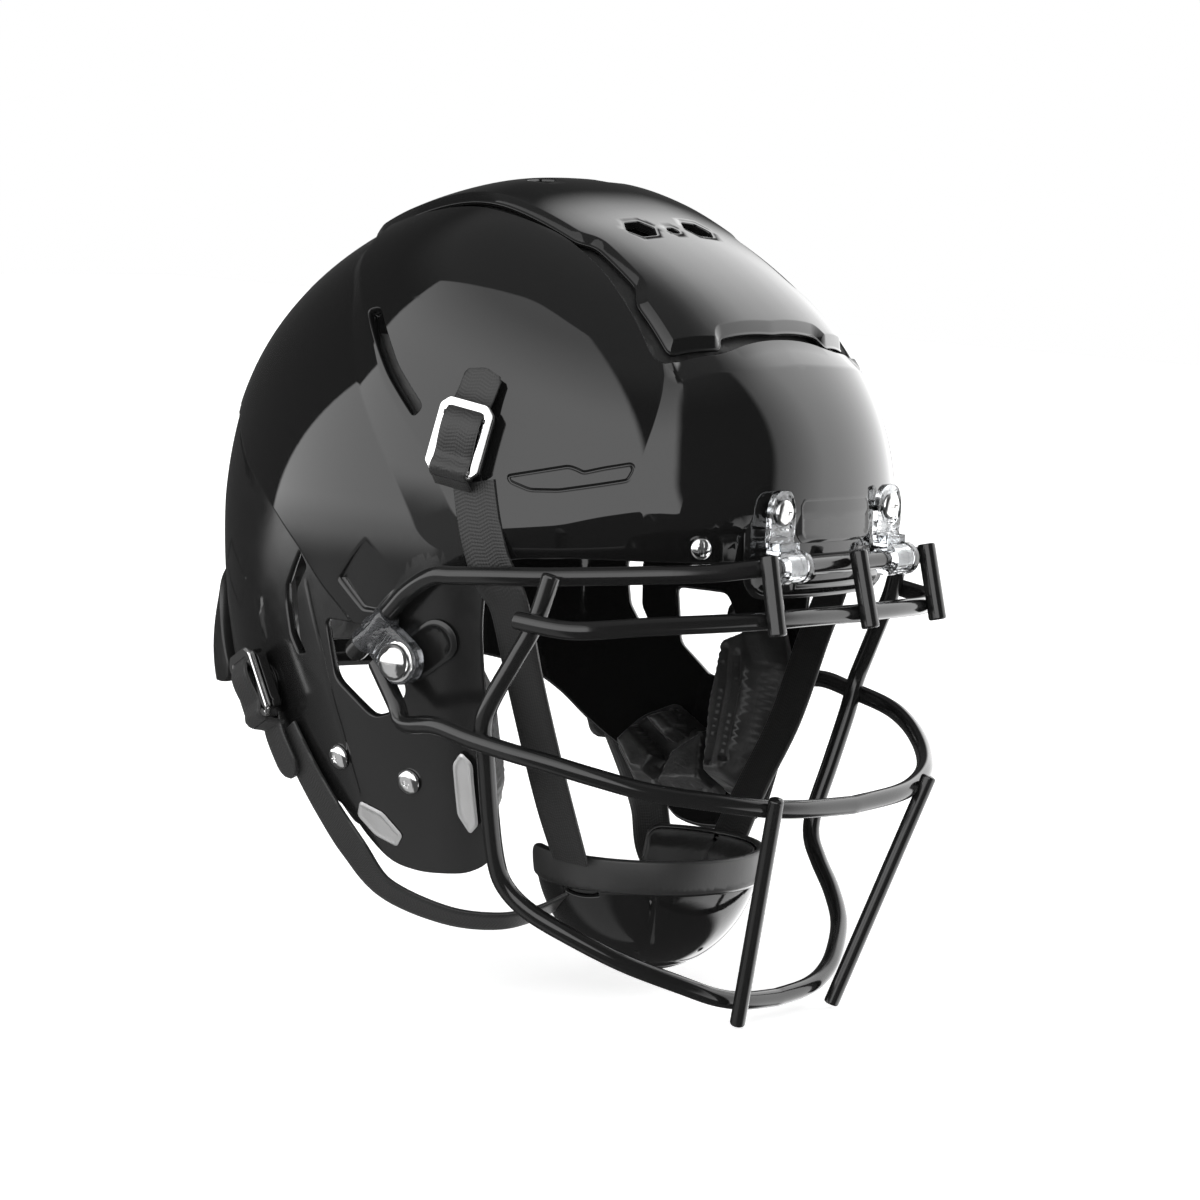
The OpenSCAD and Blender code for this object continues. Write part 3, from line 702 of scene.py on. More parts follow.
def gloss_black(name, value=0.006, rough=0.012):
    """Painted gloss: very slow orange-peel waves and hairline scuffs."""
    g = Graph(name)
    peel = g.noise(420.0, 1.0)
    slow = g.noise(22.0, 1.0)
    scuffs = g.noise(700.0, 2.0, stretch=(1, 0.05, 0.3))
    dust = g.cells(900.0)
    normal = g.bump(slow, 0.00005, normal=g.bump(peel, 0.000002))
    roughness = g.math("ADD", g.spread(g.noise(60.0, 4.0), 0.3, 0.75, rough, rough + 0.03),
                       g.math("MULTIPLY", g.step(scuffs, 0.62, 0.72), 0.05))
    colour = g.tint(g.math("MULTIPLY", g.math("LESS_THAN", dust, 0.03), 0.5), grey(value), grey(0.05))
    return g.surface(Base_Color=colour, Roughness=roughness, Normal=normal, IOR=1.5)


def metal(name, value=0.83, rough=0.07):
    g = Graph(name)
    swirl = g.noise(160.0, 3.0, stretch=(1, 1, 5))
    pits = g.cells(1500.0)
    roughness = g.math("ADD", g.spread(swirl, 0.3, 0.7, rough, rough + 0.09),
                       g.math("MULTIPLY", g.math("LESS_THAN", pits, 0.06), 0.2))
    normal = g.bump(g.noise(260.0, 2.0), 0.00002)
    colour = g.tint(g.step(g.noise(90.0, 3.0), 0.4, 0.75), grey(value), grey(value * 0.86, 0.012))
    return g.surface(Base_Color=colour, Metallic=1.0, Roughness=roughness, Normal=normal)


def clear(name, colour, rough, density):
    """Moulded clear plastic: flow marks, fine scratches and a little internal haze."""
    g = Graph(name)
    flow = g.noise(120.0, 3.0, stretch=(1, 1, 3))
    normal = g.bump(flow, 0.00025)
    roughness = g.spread(g.noise(500.0, 3.0), 0.3, 0.8, rough, rough + 0.08)
    bsdf = g.add("ShaderNodeBsdfPrincipled", {"Base Color": colour, "Roughness": roughness, "IOR": 1.5,
                                              "Transmission Weight": density, "Normal": normal})
    g.add("ShaderNodeOutputMaterial", {0: bsdf.outputs[0]})
    return g.owner


def vinyl(name, value=0.013, rough=0.42):
    """Soft black vinyl: pebbled leather grain with creases, and polished high spots."""
    g = Graph(name)
    pebbles = g.cells(750.0, "SMOOTH_F1")
    creases = g.cells(150.0, "DISTANCE_TO_EDGE")
    soft = g.noise(70.0, 4.0)
    grain = g.math("ADD", g.math("MULTIPLY", pebbles, 0.7),
                   g.math("MULTIPLY", g.math("MINIMUM", creases, 0.06), 3.0))
    normal = g.bump(soft, 0.00025, normal=g.bump(grain, 0.00008))
    roughness = g.spread(soft, 0.3, 0.7, rough - 0.06, rough + 0.12)
    colour = g.tint(g.step(g.noise(140.0, 5.0), 0.35, 0.8), grey(value), grey(value * 1.9, 0.01))
    return g.surface(Base_Color=colour, Roughness=roughness, Normal=normal, Sheen_Weight=0.15, IOR=1.48)


def webbing(name, value=0.011):
    """Woven webbing: a herringbone of warp threads along the strap, with ribs across it, and painted shade
    in the weave's hollows.
    """
    g = Graph(name)
    at = g.add("ShaderNodeUVMap", uv_map="weave").outputs[0]
    parts = g.add("ShaderNodeSeparateXYZ", {0: at})
    across, along = parts.outputs[0], parts.outputs[1]
    thread = 0.00105
    zig = g.math("PINGPONG", g.math("DIVIDE", across, thread * 4), 1.0)
    warp = g.math("PINGPONG", g.math("DIVIDE", across, thread), 0.5)
    rib = g.math("PINGPONG", g.math("ADD", g.math("DIVIDE", along, thread * 1.3),
                                    g.math("MULTIPLY", zig, 1.0)), 0.5)
    weave = g.math("ADD", g.math("MULTIPLY", warp, 1.1), g.math("MULTIPLY", rib, 1.3))
    fuzz = g.noise(2400.0, 2.0)
    edge = g.step(g.math("ABSOLUTE", across), 0.0084, 0.0094)
    height = g.math("ADD", g.math("ADD", weave, g.math("MULTIPLY", fuzz, 0.35)),
                    g.math("MULTIPLY", edge, 0.5))
    normal = g.bump(height, 0.00007)
    # painted shade and light: the colour follows the weave's height, darker in its hollows and lighter on
    # the raised threads
    colour = g.tint(g.math("MULTIPLY", weave, 0.6), grey(value * 0.65), grey(value * 1.35, 0.01))
    return g.surface(Base_Color=colour, Roughness=0.4, Normal=normal, Sheen_Weight=0.06, IOR=1.45)


def label(name, value, metallic):
    g = Graph(name)
    brushed = g.noise(300.0, 3.0, stretch=(1, 1, 0.08))
    edge = g.noise(60.0, 4.0)
    return g.surface(Base_Color=g.tint(g.step(edge, 0.4, 0.8), grey(value), grey(value * 0.9, 0.01)),
                     Metallic=metallic, Roughness=g.spread(brushed, 0.3, 0.7, 0.28, 0.42),
                     Normal=g.bump(brushed, 0.00002))


SHELL_GLOSS = gloss_black("shell_gloss")
SHELL_SATIN = moulded("shell_satin", 0.0065, 0.2, 0.00075, 0.000014, 0.0001, 0.08)
PLATE_GLOSS = gloss_black("crown_plate_gloss", 0.006, 0.05)
FOAM_SKIN = moulded("crown_foam_skin", 0.02, 0.6, 0.0011, 0.0002, 0.0006, 0.2, 0.08)
BUMPER_PAINT = gloss_black("bumper_paint", 0.007, 0.05)
BUMPER_RUBBER = moulded("bumper_rubber", 0.008, 0.3, 0.0008, 0.00002, 0.0001, 0.1)
BADGE = moulded("badge_plastic", 0.022, 0.1, 0.0006, 0.000008, 0.00008, 0.1, 0.03)
CHROME = metal("chrome")
STEEL = metal("screw_steel", 0.78, 0.1)
CLEAR = clear("clear_plastic", (0.93, 0.95, 0.97, 1), 0.03, 1.0)
SMOKY = clear("smoky_plastic", (0.36, 0.37, 0.39, 1), 0.06, 0.93)
SILVER = label("silver_foil", 0.62, 0.85)
WHITE = label("white_plastic", 0.82, 0.0)
VINYL = vinyl("pad_vinyl")
JAW_VINYL = vinyl("jaw_pad_vinyl", 0.009, 0.36)
WEBBING = webbing("strap_webbing")
BLOCK = moulded("buckle_plastic", 0.007, 0.22, 0.0006, 0.000015, 0.0, 0.12)
CUP_PLASTIC = moulded("cup_plastic", 0.007, 0.07, 0.0007, 0.000012, 0.0001, 0.08, 0.04)
CUP_RIM = moulded("cup_rim_rubber", 0.02, 0.42, 0.0008, 0.00003, 0.0, 0.15)
CUP_FOAM = moulded("cup_lining", 0.016, 0.6, 0.0011, 0.00008, 0.0004, 0.2, 0.06)
WIRE = gloss_black("wire_coating", 0.008, 0.12)

# ---------------------------------------- camera
AZ, EL, ROLL = (math.radians(v) for v in (-52.18, 6.366, 3.006))
LENS_MM, SENSOR_MM, DISTANCE, CENTRE_RIGHT, CENTRE_UP = 132.009, 36.0, 1758.491, -22.922, 32.091
back = np.array([math.sin(AZ) * math.cos(EL), -math.cos(AZ) * math.cos(EL), math.sin(EL)])
right = unit(np.cross([0, 0, 1], back))
up = np.cross(back, right)
right, up = math.cos(ROLL) * right + math.sin(ROLL) * up, -math.sin(ROLL) * right + math.cos(ROLL) * up
where = (DISTANCE * back - CENTRE_RIGHT * right - CENTRE_UP * up) * MM
camera = bpy.data.objects.new("camera", bpy.data.cameras.new("camera"))
scene.collection.objects.link(camera)
camera.data.lens, camera.data.sensor_width = LENS_MM, SENSOR_MM
camera.data.clip_end = 20
camera.matrix_world = Matrix([[right[i], up[i], back[i], where[i]] for i in range(3)] + [[0, 0, 0, 1]])
scene.camera = camera

# ---------------------------------------- studio: soft boxes in the world, and a pale floor
scene.view_settings.view_transform = "Standard"
g = Graph("studio", world=True)
ray = g.add("ShaderNodeSeparateXYZ", {0: g.add("ShaderNodeTexCoord").outputs["Generated"]}).outputs
el = g.math("MULTIPLY", g.math("ARCSINE", ray[2]), 180 / math.pi)
az = g.math("MULTIPLY", g.math("ARCTAN2", ray[0], g.math("MULTIPLY", ray[1], -1.0)), 180 / math.pi)


def times(*values):
    out = values[0]
    for v in values[1:]:
        out = g.math("MULTIPLY", out, v)
    return out


def without(value):
    return g.math("SUBTRACT", 1.0, value)


# edges are in degrees of azimuth and elevation: a box on the left, a graded one on the right, faint glows
low = g.step(el, -9.0, -3.0)
rear_edge = g.math("ADD", az, g.math("MULTIPLY", g.math("SUBTRACT", 16.0, g.math("MINIMUM", el, 16.0)),
                                     1.25))
from_middle = g.math("ABSOLUTE", g.math("ADD", az, 72.0))
top_edge = g.math("ADD", el, g.math("MULTIPLY", g.math("POWER", from_middle, 2.0), 0.0046))
left_box = times(2.5, g.step(rear_edge, -144.0, -142.6), without(g.step(az, -34.0, -30.0)), low,
                 without(g.math("MULTIPLY", g.step(el, 30.0, 68.0), 0.62)),
                 without(g.step(top_edge, 75.2, 76.4)))
front_edge = g.math("SUBTRACT", az, g.math("MULTIPLY", el, 0.5))
right_box = times(2.45, g.spread(front_edge, 17.0, 44.0, 0.36, 1.0), g.step(front_edge, 15.0, 20.0),
                  without(g.step(az, 112.0, 122.0)), g.step(el, -42.0, -34.0),
                  without(g.step(el, 40.0, 60.0)))
top_glow = times(0.2, g.step(el, 40.0, 60.0))
low_glow = times(0.42, without(low), g.step(az, -165.0, -145.0), without(g.step(az, -100.0, -80.0)))
total = g.math("ADD", g.math("ADD", g.math("ADD", left_box, right_box), g.math("ADD", top_glow, low_glow)),
               0.07)
seen = g.add("ShaderNodeLightPath").outputs["Is Camera Ray"]
strength = g.add("ShaderNodeMix", {0: seen, 2: total, 3: 1.0}).outputs[0]
sky = g.add("ShaderNodeBackground", {0: (1, 1, 1, 1), 1: strength})
g.add("ShaderNodeOutputWorld", {0: sky.outputs[0]})
scene.world = g.owner

g = Graph("floor_paper")
paper = g.noise(60.0, 3.0)
floor_material = g.surface(Base_Color=g.tint(paper, grey(0.86), grey(0.88)), Roughness=0.9,
                           Emission_Color=grey(1.0), Emission_Strength=0.62, Normal=g.bump(paper, 0.0002))
FLOOR_GAP = 0.0015
bpy.ops.mesh.primitive_plane_add(size=9, location=(0, 0, cad_low[2] - FLOOR_GAP))
floor = bpy.context.object
floor.name = "floor"
floor.data.materials.append(floor_material)
floor.visible_glossy = False
floor.visible_transmission = False

# ---------------------------------------- shell: outlines in mm
SHELL_PROFILE = [(-91, -1), (-68, -3), (-60, -9), (-58, -30), (-59, -73), (-55, -118), (-50, -124),
                 (-42, -128),
                 (-21, -130), (-7, -128), (3, -119), (11, -109), (27, -103), (38, -97), (47, -91),
                 (57, -83), (68, -76), (80, -71), (95, -68)]
EAR_HOLE = [(15, -34), (10, -58), (-9.5, -71), (-22, -67), (-28, -57), (-12, -34)]
REAR_SLOT = [(31, -9), (25, -16), (31, -26), (29, -44), (25, -50), (31, -51), (36, -44), (39, -31),
             (39, -24)]
SIDE_VENT = [(9, 83), (2, 85), (-16, 64), (-31, 50), (-27, 45), (-11, 60)]
CROWN_WINDOW = [(0, -113), (36, -110), (59, -103), (63, -98), (59, -83), (55, -66), (54, -46), (61, -20),
                (63, 8), (61, 32), (50, 60), (36, 76), (0, 80)]
RIDGE_LOW = fillet([(-60, 102), (-38, 90), (-28, 79), (-25, 76), (-13, 57), (7, 30), (20, 11), (24, 4),
                    (29, 0), (34, -2),
                    (40, -2), (53, 0), (64, 2), (78, 4), (91, 7), (104, 8), (181, 8)], 4, False)
RIDGE_HIGH = fillet([(-52, 103), (-30, 90), (-20, 82), (-17, 79), (-7, 69), (3, 57), (14, 46), (26, 34),
                     (35, 20), (41, 9),
                     (53, 6.5), (64, 8), (78, 10), (91, 14), (104, 17), (181, 17)], 4, False)
OVERLAP = fillet([(-104, 32), (-70, 14), (-54, 4), (-37, -8), (-23, -21), (-7, -33), (2, -40)], 4, False)
WEDGE_REAR = np.array([(116, 84), (115, 67), (113, 62), (107, 43), (103, 29), (103, 23), (104, 18)], float)
WEDGE_FRONT = np.array([(118.5, 84), (117, 67), (121, 63), (120, 47), (120, 27), (117, 16), (113, 12),
                        (108, 10)], float)
BROW_TOP = np.array([(121, 64), (129, 66), (138, 67), (158, 68), (181, 69)], float)
BLADE = fillet([(59, 27), (80, 32), (83, 31), (85, 30), (92, 32), (101, 34), (102, 32), (100, 28), (91, 26),
                (77, 23), (67, 22.5), (60, 25)], 1.5)
POCKET = fillet([(-14, -18), (-7, -9), (0, -1), (2, -2), (11, -9), (19, -16), (6, -29), (-1, -29)], 1.5)
REAR_VENT = fillet([(-106, 30), (-98, 32), (-81, 20), (-71, 11), (-74, 9), (-80, 11), (-90, 21)], 1.5)
HEXAGON = np.array([(-96, -13), (-78, -26), (-86, -39), (-99, -30), (-104, -22)], float)
FIN = np.array([(-69, -35), (-64, -35), (-62, -48), (-66, -45)], float)
JAW_EDGE = np.array([(-33, -23), (-25, -47), (-17, -78), (-13, -101)], float)


def disc_of(P):
    """Flat chart of the whole shell: the crown is at the middle."""
    z = P[:, 2]
    t = np.where(z < 0, np.degrees(z / HEIGHT), np.degrees(np.arcsin(np.clip(z / HEIGHT, 0, 1))))
    n = power(P[:, 1])
    w, d = half_w(z), depth(P[:, 1], z)
    c = np.sign(P[:, 0]) * np.minimum(np.abs(P[:, 0]) / w, 1) ** (n / 2)
    s = np.sign(P[:, 1] - MID_Y) * np.minimum(np.abs(P[:, 1] - MID_Y) / d, 1) ** (n / 2)
    a = np.arctan2(s, c)
    return np.stack([(90 - t) * np.cos(a), (90 - t) * np.sin(a)], -1)


def disc(uv):
    r = np.linalg.norm(uv, axis=-1) + 1e-9
    c, s, t = uv[:, 0] / r, uv[:, 1] / r, 90 - r
    z = np.where(t < 0, HEIGHT * np.radians(t), HEIGHT * np.sin(np.radians(np.minimum(t, 90))))
    y_side = np.where(s >= 0, 100.0, -100.0)
    n = power(y_side)
    x = half_w(z) * np.sign(c) * np.abs(c) ** (2 / n)
    y = MID_Y + depth(y_side, z) * np.sign(s) * np.abs(s) ** (2 / n)
    return np.stack([x, y, z], -1)


RIDGE_RISE, CHEEK_DIP, BROW_RISE, OVERLAP_STEP = 1.9, 2.2, 1.8, 1.7
POCKET_DEEP, REAR_VENT_DEEP, FIN_RISE, JAW_GROOVE = 3.0, 1.3, 1.0, 0.35


def shell_height(P):
    """How far the shell's panels, lips and grooves stand off the smooth surface."""
    W = wrap_of(P)
    p, z = W[:, 0], W[:, 1]
    d1, s1 = seg_distance(W, RIDGE_LOW)
    d2, s2 = seg_distance(W, RIDGE_HIGH)
    band = np.where(s1 < 0, 0, np.where(s2 > 0, 1, d1 / (d1 + d2 + 1e-6)))
    h = RIDGE_RISE * band
    low_z = np.interp(p, RIDGE_LOW[:, 0], RIDGE_LOW[:, 1])
    h -= CHEEK_DIP * np.clip((low_z - z) / 9, 0, 1) * ramp(p, 30, 52) * (s1 < 0)
    dr, sr = seg_distance(W, WEDGE_REAR)
    df, sf = seg_distance(W, WEDGE_FRONT)
    wedge = (sr > 0) & (p > 95)
    ahead = (sf > 0) & (p > 100)
    rise = BROW_RISE * ramp(z, 5, 14)
    h += np.where(ahead, rise, np.where(wedge, rise * dr / (dr + df + 1e-6), 0))
    dt, st = seg_distance(W, BROW_TOP)
    h -= np.where((st > 0) & (p > 117), np.minimum(dt * 0.25, 2.0) * ramp(p, 117, 122), 0)
    do, so = seg_distance(W, OVERLAP)
    behind = (so < 0) & (p < 4)
    step = OVERLAP_STEP * soft_ramp(do / 1.1, 0.1) * np.clip(1 - do / 34, 0, 1) * ramp(-p, -2, 16)
    h -= np.where(behind, step, 0)
    pocket = depth_in(W, POCKET)
    h -= POCKET_DEEP * ramp(pocket, 0, 1.4) * np.clip(1.05 - (p + 14 + 0.6 * (z + 29)) / 34, 0, 1)
    for outline, width, deep in ((BLADE, 0.42, 0.5), (HEXAGON, 0.45, 0.4)):
        d, _ = seg_distance(W, outline, True)
        h -= deep * np.exp(-((d / width) ** 2))
    vent = depth_in(W, REAR_VENT)
    h -= REAR_VENT_DEEP * ramp(vent, 0, 1.0)
    h += FIN_RISE * ramp(depth_in(W, FIN), -1.0, 1.5)
    dj, _ = seg_distance(W, JAW_EDGE)
    h -= JAW_GROOVE * np.exp(-((dj / 0.8) ** 2))
    return h


def shell_top(uv):
    P = disc(uv)
    return P + shell_height(P)[:, None] * shell_normal(P)


def shell_bottom(uv):
    P = disc(uv)
    return P - WALL * shell_normal(P)


def mirror_x(P):
    return P * [-1, 1, 1]


def shell_rim():
    """The lower edge, from the middle of the front round to the middle of the rear, then mirrored."""
    mid_front = MID_Y - float(depth(np.array(-50.0), np.array(-1.0)))
    mid_rear = MID_Y + float(depth(np.array(50.0), np.array(-70.0)))
    body = fillet([(-110, -1)] + SHELL_PROFILE + [(110, -68.6)], 7, False)
    a = np.linspace(0, 1, 60)
    front_y = mid_front + (-110 - mid_front) * a**2.2
    rear_y = mid_rear + (110 - mid_rear) * a[::-1] ** 2.2
    yz = np.vstack([np.stack([front_y[:-1], np.full(59, -1.0)], -1), densify(body, 1.5),
                    np.stack([rear_y[1:], np.interp(rear_y[1:], [110, mid_rear], [-68.6, -70])], -1)])
    right_side = resample(side(yz), 2.0)
    return np.vstack([right_side, mirror_x(right_side)[::-1][1:-1]])


def hole_discs(poly, r):
    P = side(densify(fillet(poly, r), 1.0, True))
    return disc_of(P), disc_of(mirror_x(P))


window = fillet(CROWN_WINDOW[1:-1] + [(-x, y) for x, y in CROWN_WINDOW[-2:0:-1]], 6)
window = densify(window, 1.5, True)
window_points = np.stack([window[:, 0], window[:, 1], crown_height(window[:, 0], window[:, 1])], -1)


def on_shell(P):
    """True away from the crown window."""
    return ~inside(P[:, :2], window * 1.02) | (P[:, 2] < 60)


def parallel(path, d, loop=False):
    """A copy of a polyline, moved sideways by d."""
    t = unit(np.roll(path, -1, 0) - np.roll(path, 1, 0)) if loop else unit(np.gradient(path, axis=0))
    return path + d * np.stack([-t[:, 1], t[:, 0]], -1)


def insets(loop, *depths):
    """Closed lines that run inside a closed loop, one at each depth."""
    side_of = 1.0 if inside(parallel(loop, 3.0, True)[:1], loop)[0] else -1.0
    return [closed(parallel(loop, side_of * d, True)) for d in depths]


creases = []
EDGE = (-0.7, 0.7)
GROOVE = (-1.1, -0.4, 0.4, 1.1)
# each crease: its line, whether it closes, and how far beside it more mesh lines run
FEATURES = ((RIDGE_LOW, False, EDGE), (RIDGE_HIGH, False, EDGE), (OVERLAP, False, (0.5, -0.55, -1.1, -1.8)),
            (WEDGE_REAR, False, EDGE), (WEDGE_FRONT, False, EDGE), (BROW_TOP, False, EDGE),
            (BLADE, True, GROOVE),
            (POCKET, True, (2.0, 1.4, 0.7, -0.7, -1.4, -2.0)), (REAR_VENT, True, (1.6, 1.0, -1.0, -1.6)),
            (HEXAGON, True, GROOVE), (FIN, True, ()), (JAW_EDGE, False, (-1.6, -0.8, 0.8, 1.6)))
WRAP_END = 178.0
feature_lines = [(path, loop, 0) for path, loop, _ in FEATURES]
feature_lines += [(path, loop, shift) for path, loop, shifts in FEATURES for shift in shifts]
for path, loop, shift in feature_lines:
    line = densify(closed(path) if loop else path, 1.2)
    if shift:
        line = parallel(line, shift)
    P = wrap(line)
    ok = on_shell(P) & (line[:, 0] < WRAP_END)
    runs = np.split(np.arange(len(line)), np.where(~ok)[0])
    for run in runs:
        run = run[ok[run]]
        if len(run) > 3:
            creases += [disc_of(P[run]), disc_of(mirror_x(P[run]))]


def shell_finish(C):
    """0 gloss, 1 satin: the lower half of the shell has a fine grain."""
    W = wrap_of(C)
    z_edge = np.where(W[:, 0] < 2, np.interp(W[:, 0], OVERLAP[:, 0], OVERLAP[:, 1]),
                      np.interp(W[:, 0], [2, 24, 181], [-38, -5, -5]))
    return (W[:, 1] < z_edge).astype(int).tolist()


shell = solid("shell_visual", shell_top, shell_bottom,
              [disc_of(shell_rim()), disc_of(window_points), *hole_discs(EAR_HOLE, 4),
               *hole_discs(REAR_SLOT, 2), *hole_discs(SIDE_VENT, 4)],
              [SHELL_GLOSS, SHELL_SATIN], step=1.6, lines=creases, bulge=0.9, face_material=shell_finish,
              e=0.06)
finish_piece(shell, "helmet", "shell", slot="shell")


# ---------------------------------------- crown: sprung plate, and foam under it
PLATE_OUTLINE = [(0, -107), (31, -105), (34, -108), (56, -101), (54, -83), (48, -78), (46, -56), (51, -50),
                 (55, -12), (53, 28), (44, 54), (30, 70), (0, 74)]
VENTS = [(18, -54, 9), (-18, -54, 9), (0, -56, 4), (21, -8, 8), (-21, -8, 8), (17, 40, 8), (-17, 40, 8)]


def both_halves(half):
    return np.array([(float(x), float(y)) for x, y in half]
                    + [(-float(x), float(y)) for x, y in half[::-1] if x > 0])


def hex_loop(x, y, r, grow=0.0):
    a = np.radians(np.arange(0, 360, 60))
    return fillet(np.stack([x + (r + grow) * np.cos(a), y + 0.65 * (r + grow) * np.sin(a)], -1), 1.2)


def crown_at(offset):
    """The crown's surface moved out by an offset."""
    def surface(uv):
        P = crown(uv)
        h = offset(uv) if callable(offset) else offset
        return P + np.broadcast_to(h, len(P))[:, None] * crown.normal(P)
    return surface


plate_loop = fillet(both_halves(PLATE_OUTLINE), 2.5)
PLATE_UP, BEVEL_DROP, BEVEL_WIDE, VENT_LIP = 3.5, 2.7, 3.2, 1.4


def plate_height(uv):
    h = PLATE_UP - BEVEL_DROP * (1 - ramp(depth_in(uv, plate_loop), 0, BEVEL_WIDE))
    for vent in VENTS:
        to_vent, _ = seg_distance(uv, hex_loop(*vent), True)
        h = h - 0.35 * (1 - ramp(to_vent, 0, VENT_LIP))
    return h


crown_plate = solid("crown_plate_visual", crown_at(plate_height), crown_at(-0.5),
                    [plate_loop] + [hex_loop(*v) for v in VENTS], PLATE_GLOSS, step=2.2, bulge=0.5,
                    boxy=0.5, lines=insets(plate_loop, 0.6, BEVEL_WIDE - 0.4, BEVEL_WIDE, BEVEL_WIDE + 0.4)
                    + [closed(hex_loop(*v, grow=VENT_LIP)) for v in VENTS], e=0.06)
finish_piece(crown_plate, "crown_plate", "crown_plate", slot="crown_plate")

foam_loop = both_halves([(x + (3 if x else 0), y + (3 if y > 0 else -3)) for x, y in CROWN_WINDOW])


def foam_height(uv):
    d = depth_in(uv, fillet(both_halves(CROWN_WINDOW), 6))
    return -4.4 + 1.9 * ramp(d, 0.8, 2.6)


crown_foam = solid("crown_foam_visual", crown_at(foam_height), crown_at(-11.0),
                   [foam_loop] + [hex_loop(*v, grow=-1.0) for v in VENTS], FOAM_SKIN, step=3.0, bulge=0.5,
                   boxy=0.6)
finish_piece(crown_foam, "helmet", "crown_foam", slot="crown_foam")
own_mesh(crown_foam)

# ---------------------------------------- front bumper with a blank badge
BUMPER_RIBS = (4.0, 1.0, -2.0, -5.0, -8.0, -11.0)
RIB_END = 20.0
SCREW_X, SCREW_Z, SCREW_BORE = 35.0, 18.0, 2.6
BUMPER = both_halves([(0, -15), (38, -15), (44, -9), (45, 4), (45, 24), (39, 30), (0, 30)])
bumper_loop = fillet(BUMPER, 4)
turns = np.linspace(0, 2 * math.pi, 25)[:-1]
screw_holes = [np.stack([s * SCREW_X + SCREW_BORE * np.cos(turns), SCREW_Z + SCREW_BORE * np.sin(turns)],
                        -1)
               for s in (-1, 1)]


def front_at(offset):
    """The brow's surface moved out, and straight down under its lower edge."""
    def surface(uv):
        flat = np.stack([uv[:, 0], np.maximum(uv[:, 1], -3)], -1)
        P = front(flat)
        N = surface_normals(front, flat, 0.1)
        N = np.where(N[:, 1:2] > 0, -N, N)
        h = offset(uv) if callable(offset) else offset
        P = P + np.broadcast_to(h, len(P))[:, None] * N
        P[:, 2] += np.minimum(uv[:, 1] + 3, 0)
        P[:, 1] += 0.05 * np.minimum(uv[:, 1] + 3, 0) ** 2 * 0.3
        return P
    return surface


def bumper_height(uv):
    d = depth_in(uv, bumper_loop)
    h = 1.5 + 1.3 * ramp(d, 0.0, 0.7) - 0.7 * ramp(d, 1.7, 2.5)
    rib_ends = 1 - ramp(np.abs(uv[:, 0]), RIB_END, RIB_END + 4)
    for z in BUMPER_RIBS:
        h = h + 0.45 * np.exp(-(((uv[:, 1] - z) / 0.6) ** 2)) * ramp(d, 3.5, 5) * rib_ends
    return h


bumper = solid("front_bumper_visual", front_at(bumper_height), front_at(0.35), [bumper_loop] + screw_holes,
               BUMPER_PAINT, step=1.8, bulge=0.4, boxy=0.6, e=0.1, lines=insets(bumper_loop, 0.7, 1.7, 2.5)
               + [np.array([(-RIB_END, z), (RIB_END, z)]) for z in BUMPER_RIBS])
finish_piece(bumper, "helmet", "front_bumper", slot="bumper")

badge_loop = fillet(both_halves([(0, 6), (20, 6), (22.5, 9), (22.5, 20), (20, 23), (0, 23)]), 1.2)


def badge_height(uv):
    d = depth_in(uv, badge_loop)
    return 2.4 + 1.5 * ramp(d, 0, 0.9) - 0.7 * ramp(d, 1.7, 2.3)


badge = solid("nameplate_visual", front_at(badge_height), front_at(2.2), [badge_loop], BADGE, step=1.2,
              bulge=0.2, e=0.1, lines=insets(badge_loop, 0.9, 1.7, 2.3))
finish_piece(badge, "helmet", "nameplate", slot="nameplate")

# ---------------------------------------- rear bumper and its small white tag
REAR_HALF, REAR_TALL = 64.0, 40.0
REAR_LOW, REAR_RISE, REAR_START, REAR_SWEEP = -32.0, 20.0, 58.0, 64.0
REAR_OUT, RIB_PITCH = 19.5, 16.0


def rear_chart(uv, out):
    """Chart of the nape: along the rear edge, and up from it."""
    along = (uv[:, 0] + REAR_HALF) / (2 * REAR_HALF)
    t, a = REAR_LOW + REAR_RISE * uv[:, 1] / REAR_TALL, REAR_START + REAR_SWEEP * along
    z = HEIGHT * np.radians(t)
    w, d = half_w(z), depth(np.full_like(z, 50.0), z)
    ca, sa = np.cos(np.radians(a)), np.sin(np.radians(a))
    power_of = 2 / REAR_N
    P = np.stack([w * np.sign(ca) * np.abs(ca) ** power_of, MID_Y + d * np.abs(sa) ** power_of, z], -1)
    return P + np.broadcast_to(out, len(P))[:, None] * shell_normal(P)


def rear_top(uv):
    along = np.clip((uv[:, 0] + REAR_HALF) / (2 * REAR_HALF), 0, 1)
    over = np.clip(uv[:, 1] / REAR_TALL, 0, 1)
    out = 2.2 + REAR_OUT * np.sin(np.pi * along) ** 0.6 * np.cos(np.pi / 2 * over) ** 0.9
    rib = np.abs((uv[:, 0] + 4) % RIB_PITCH - RIB_PITCH / 2)
    groove = 0.9 * np.exp(-((rib / 0.9) ** 2)) * ramp(over, 0.12, 0.25) * (1 - ramp(over, 0.75, 0.9))
    return rear_chart(uv, out - groove)


rear_loop = fillet(np.array([(-63, 1), (63, 1), (60, 30), (50, 39), (-50, 39), (-60, 30)], float), 6)
rear_bumper = solid("rear_bumper_visual", rear_top, lambda uv: rear_chart(uv, 0.4), [rear_loop],
                    BUMPER_RUBBER, step=2.6, bulge=0.8)
finish_piece(rear_bumper, "helmet", "rear_bumper", slot="bumper")

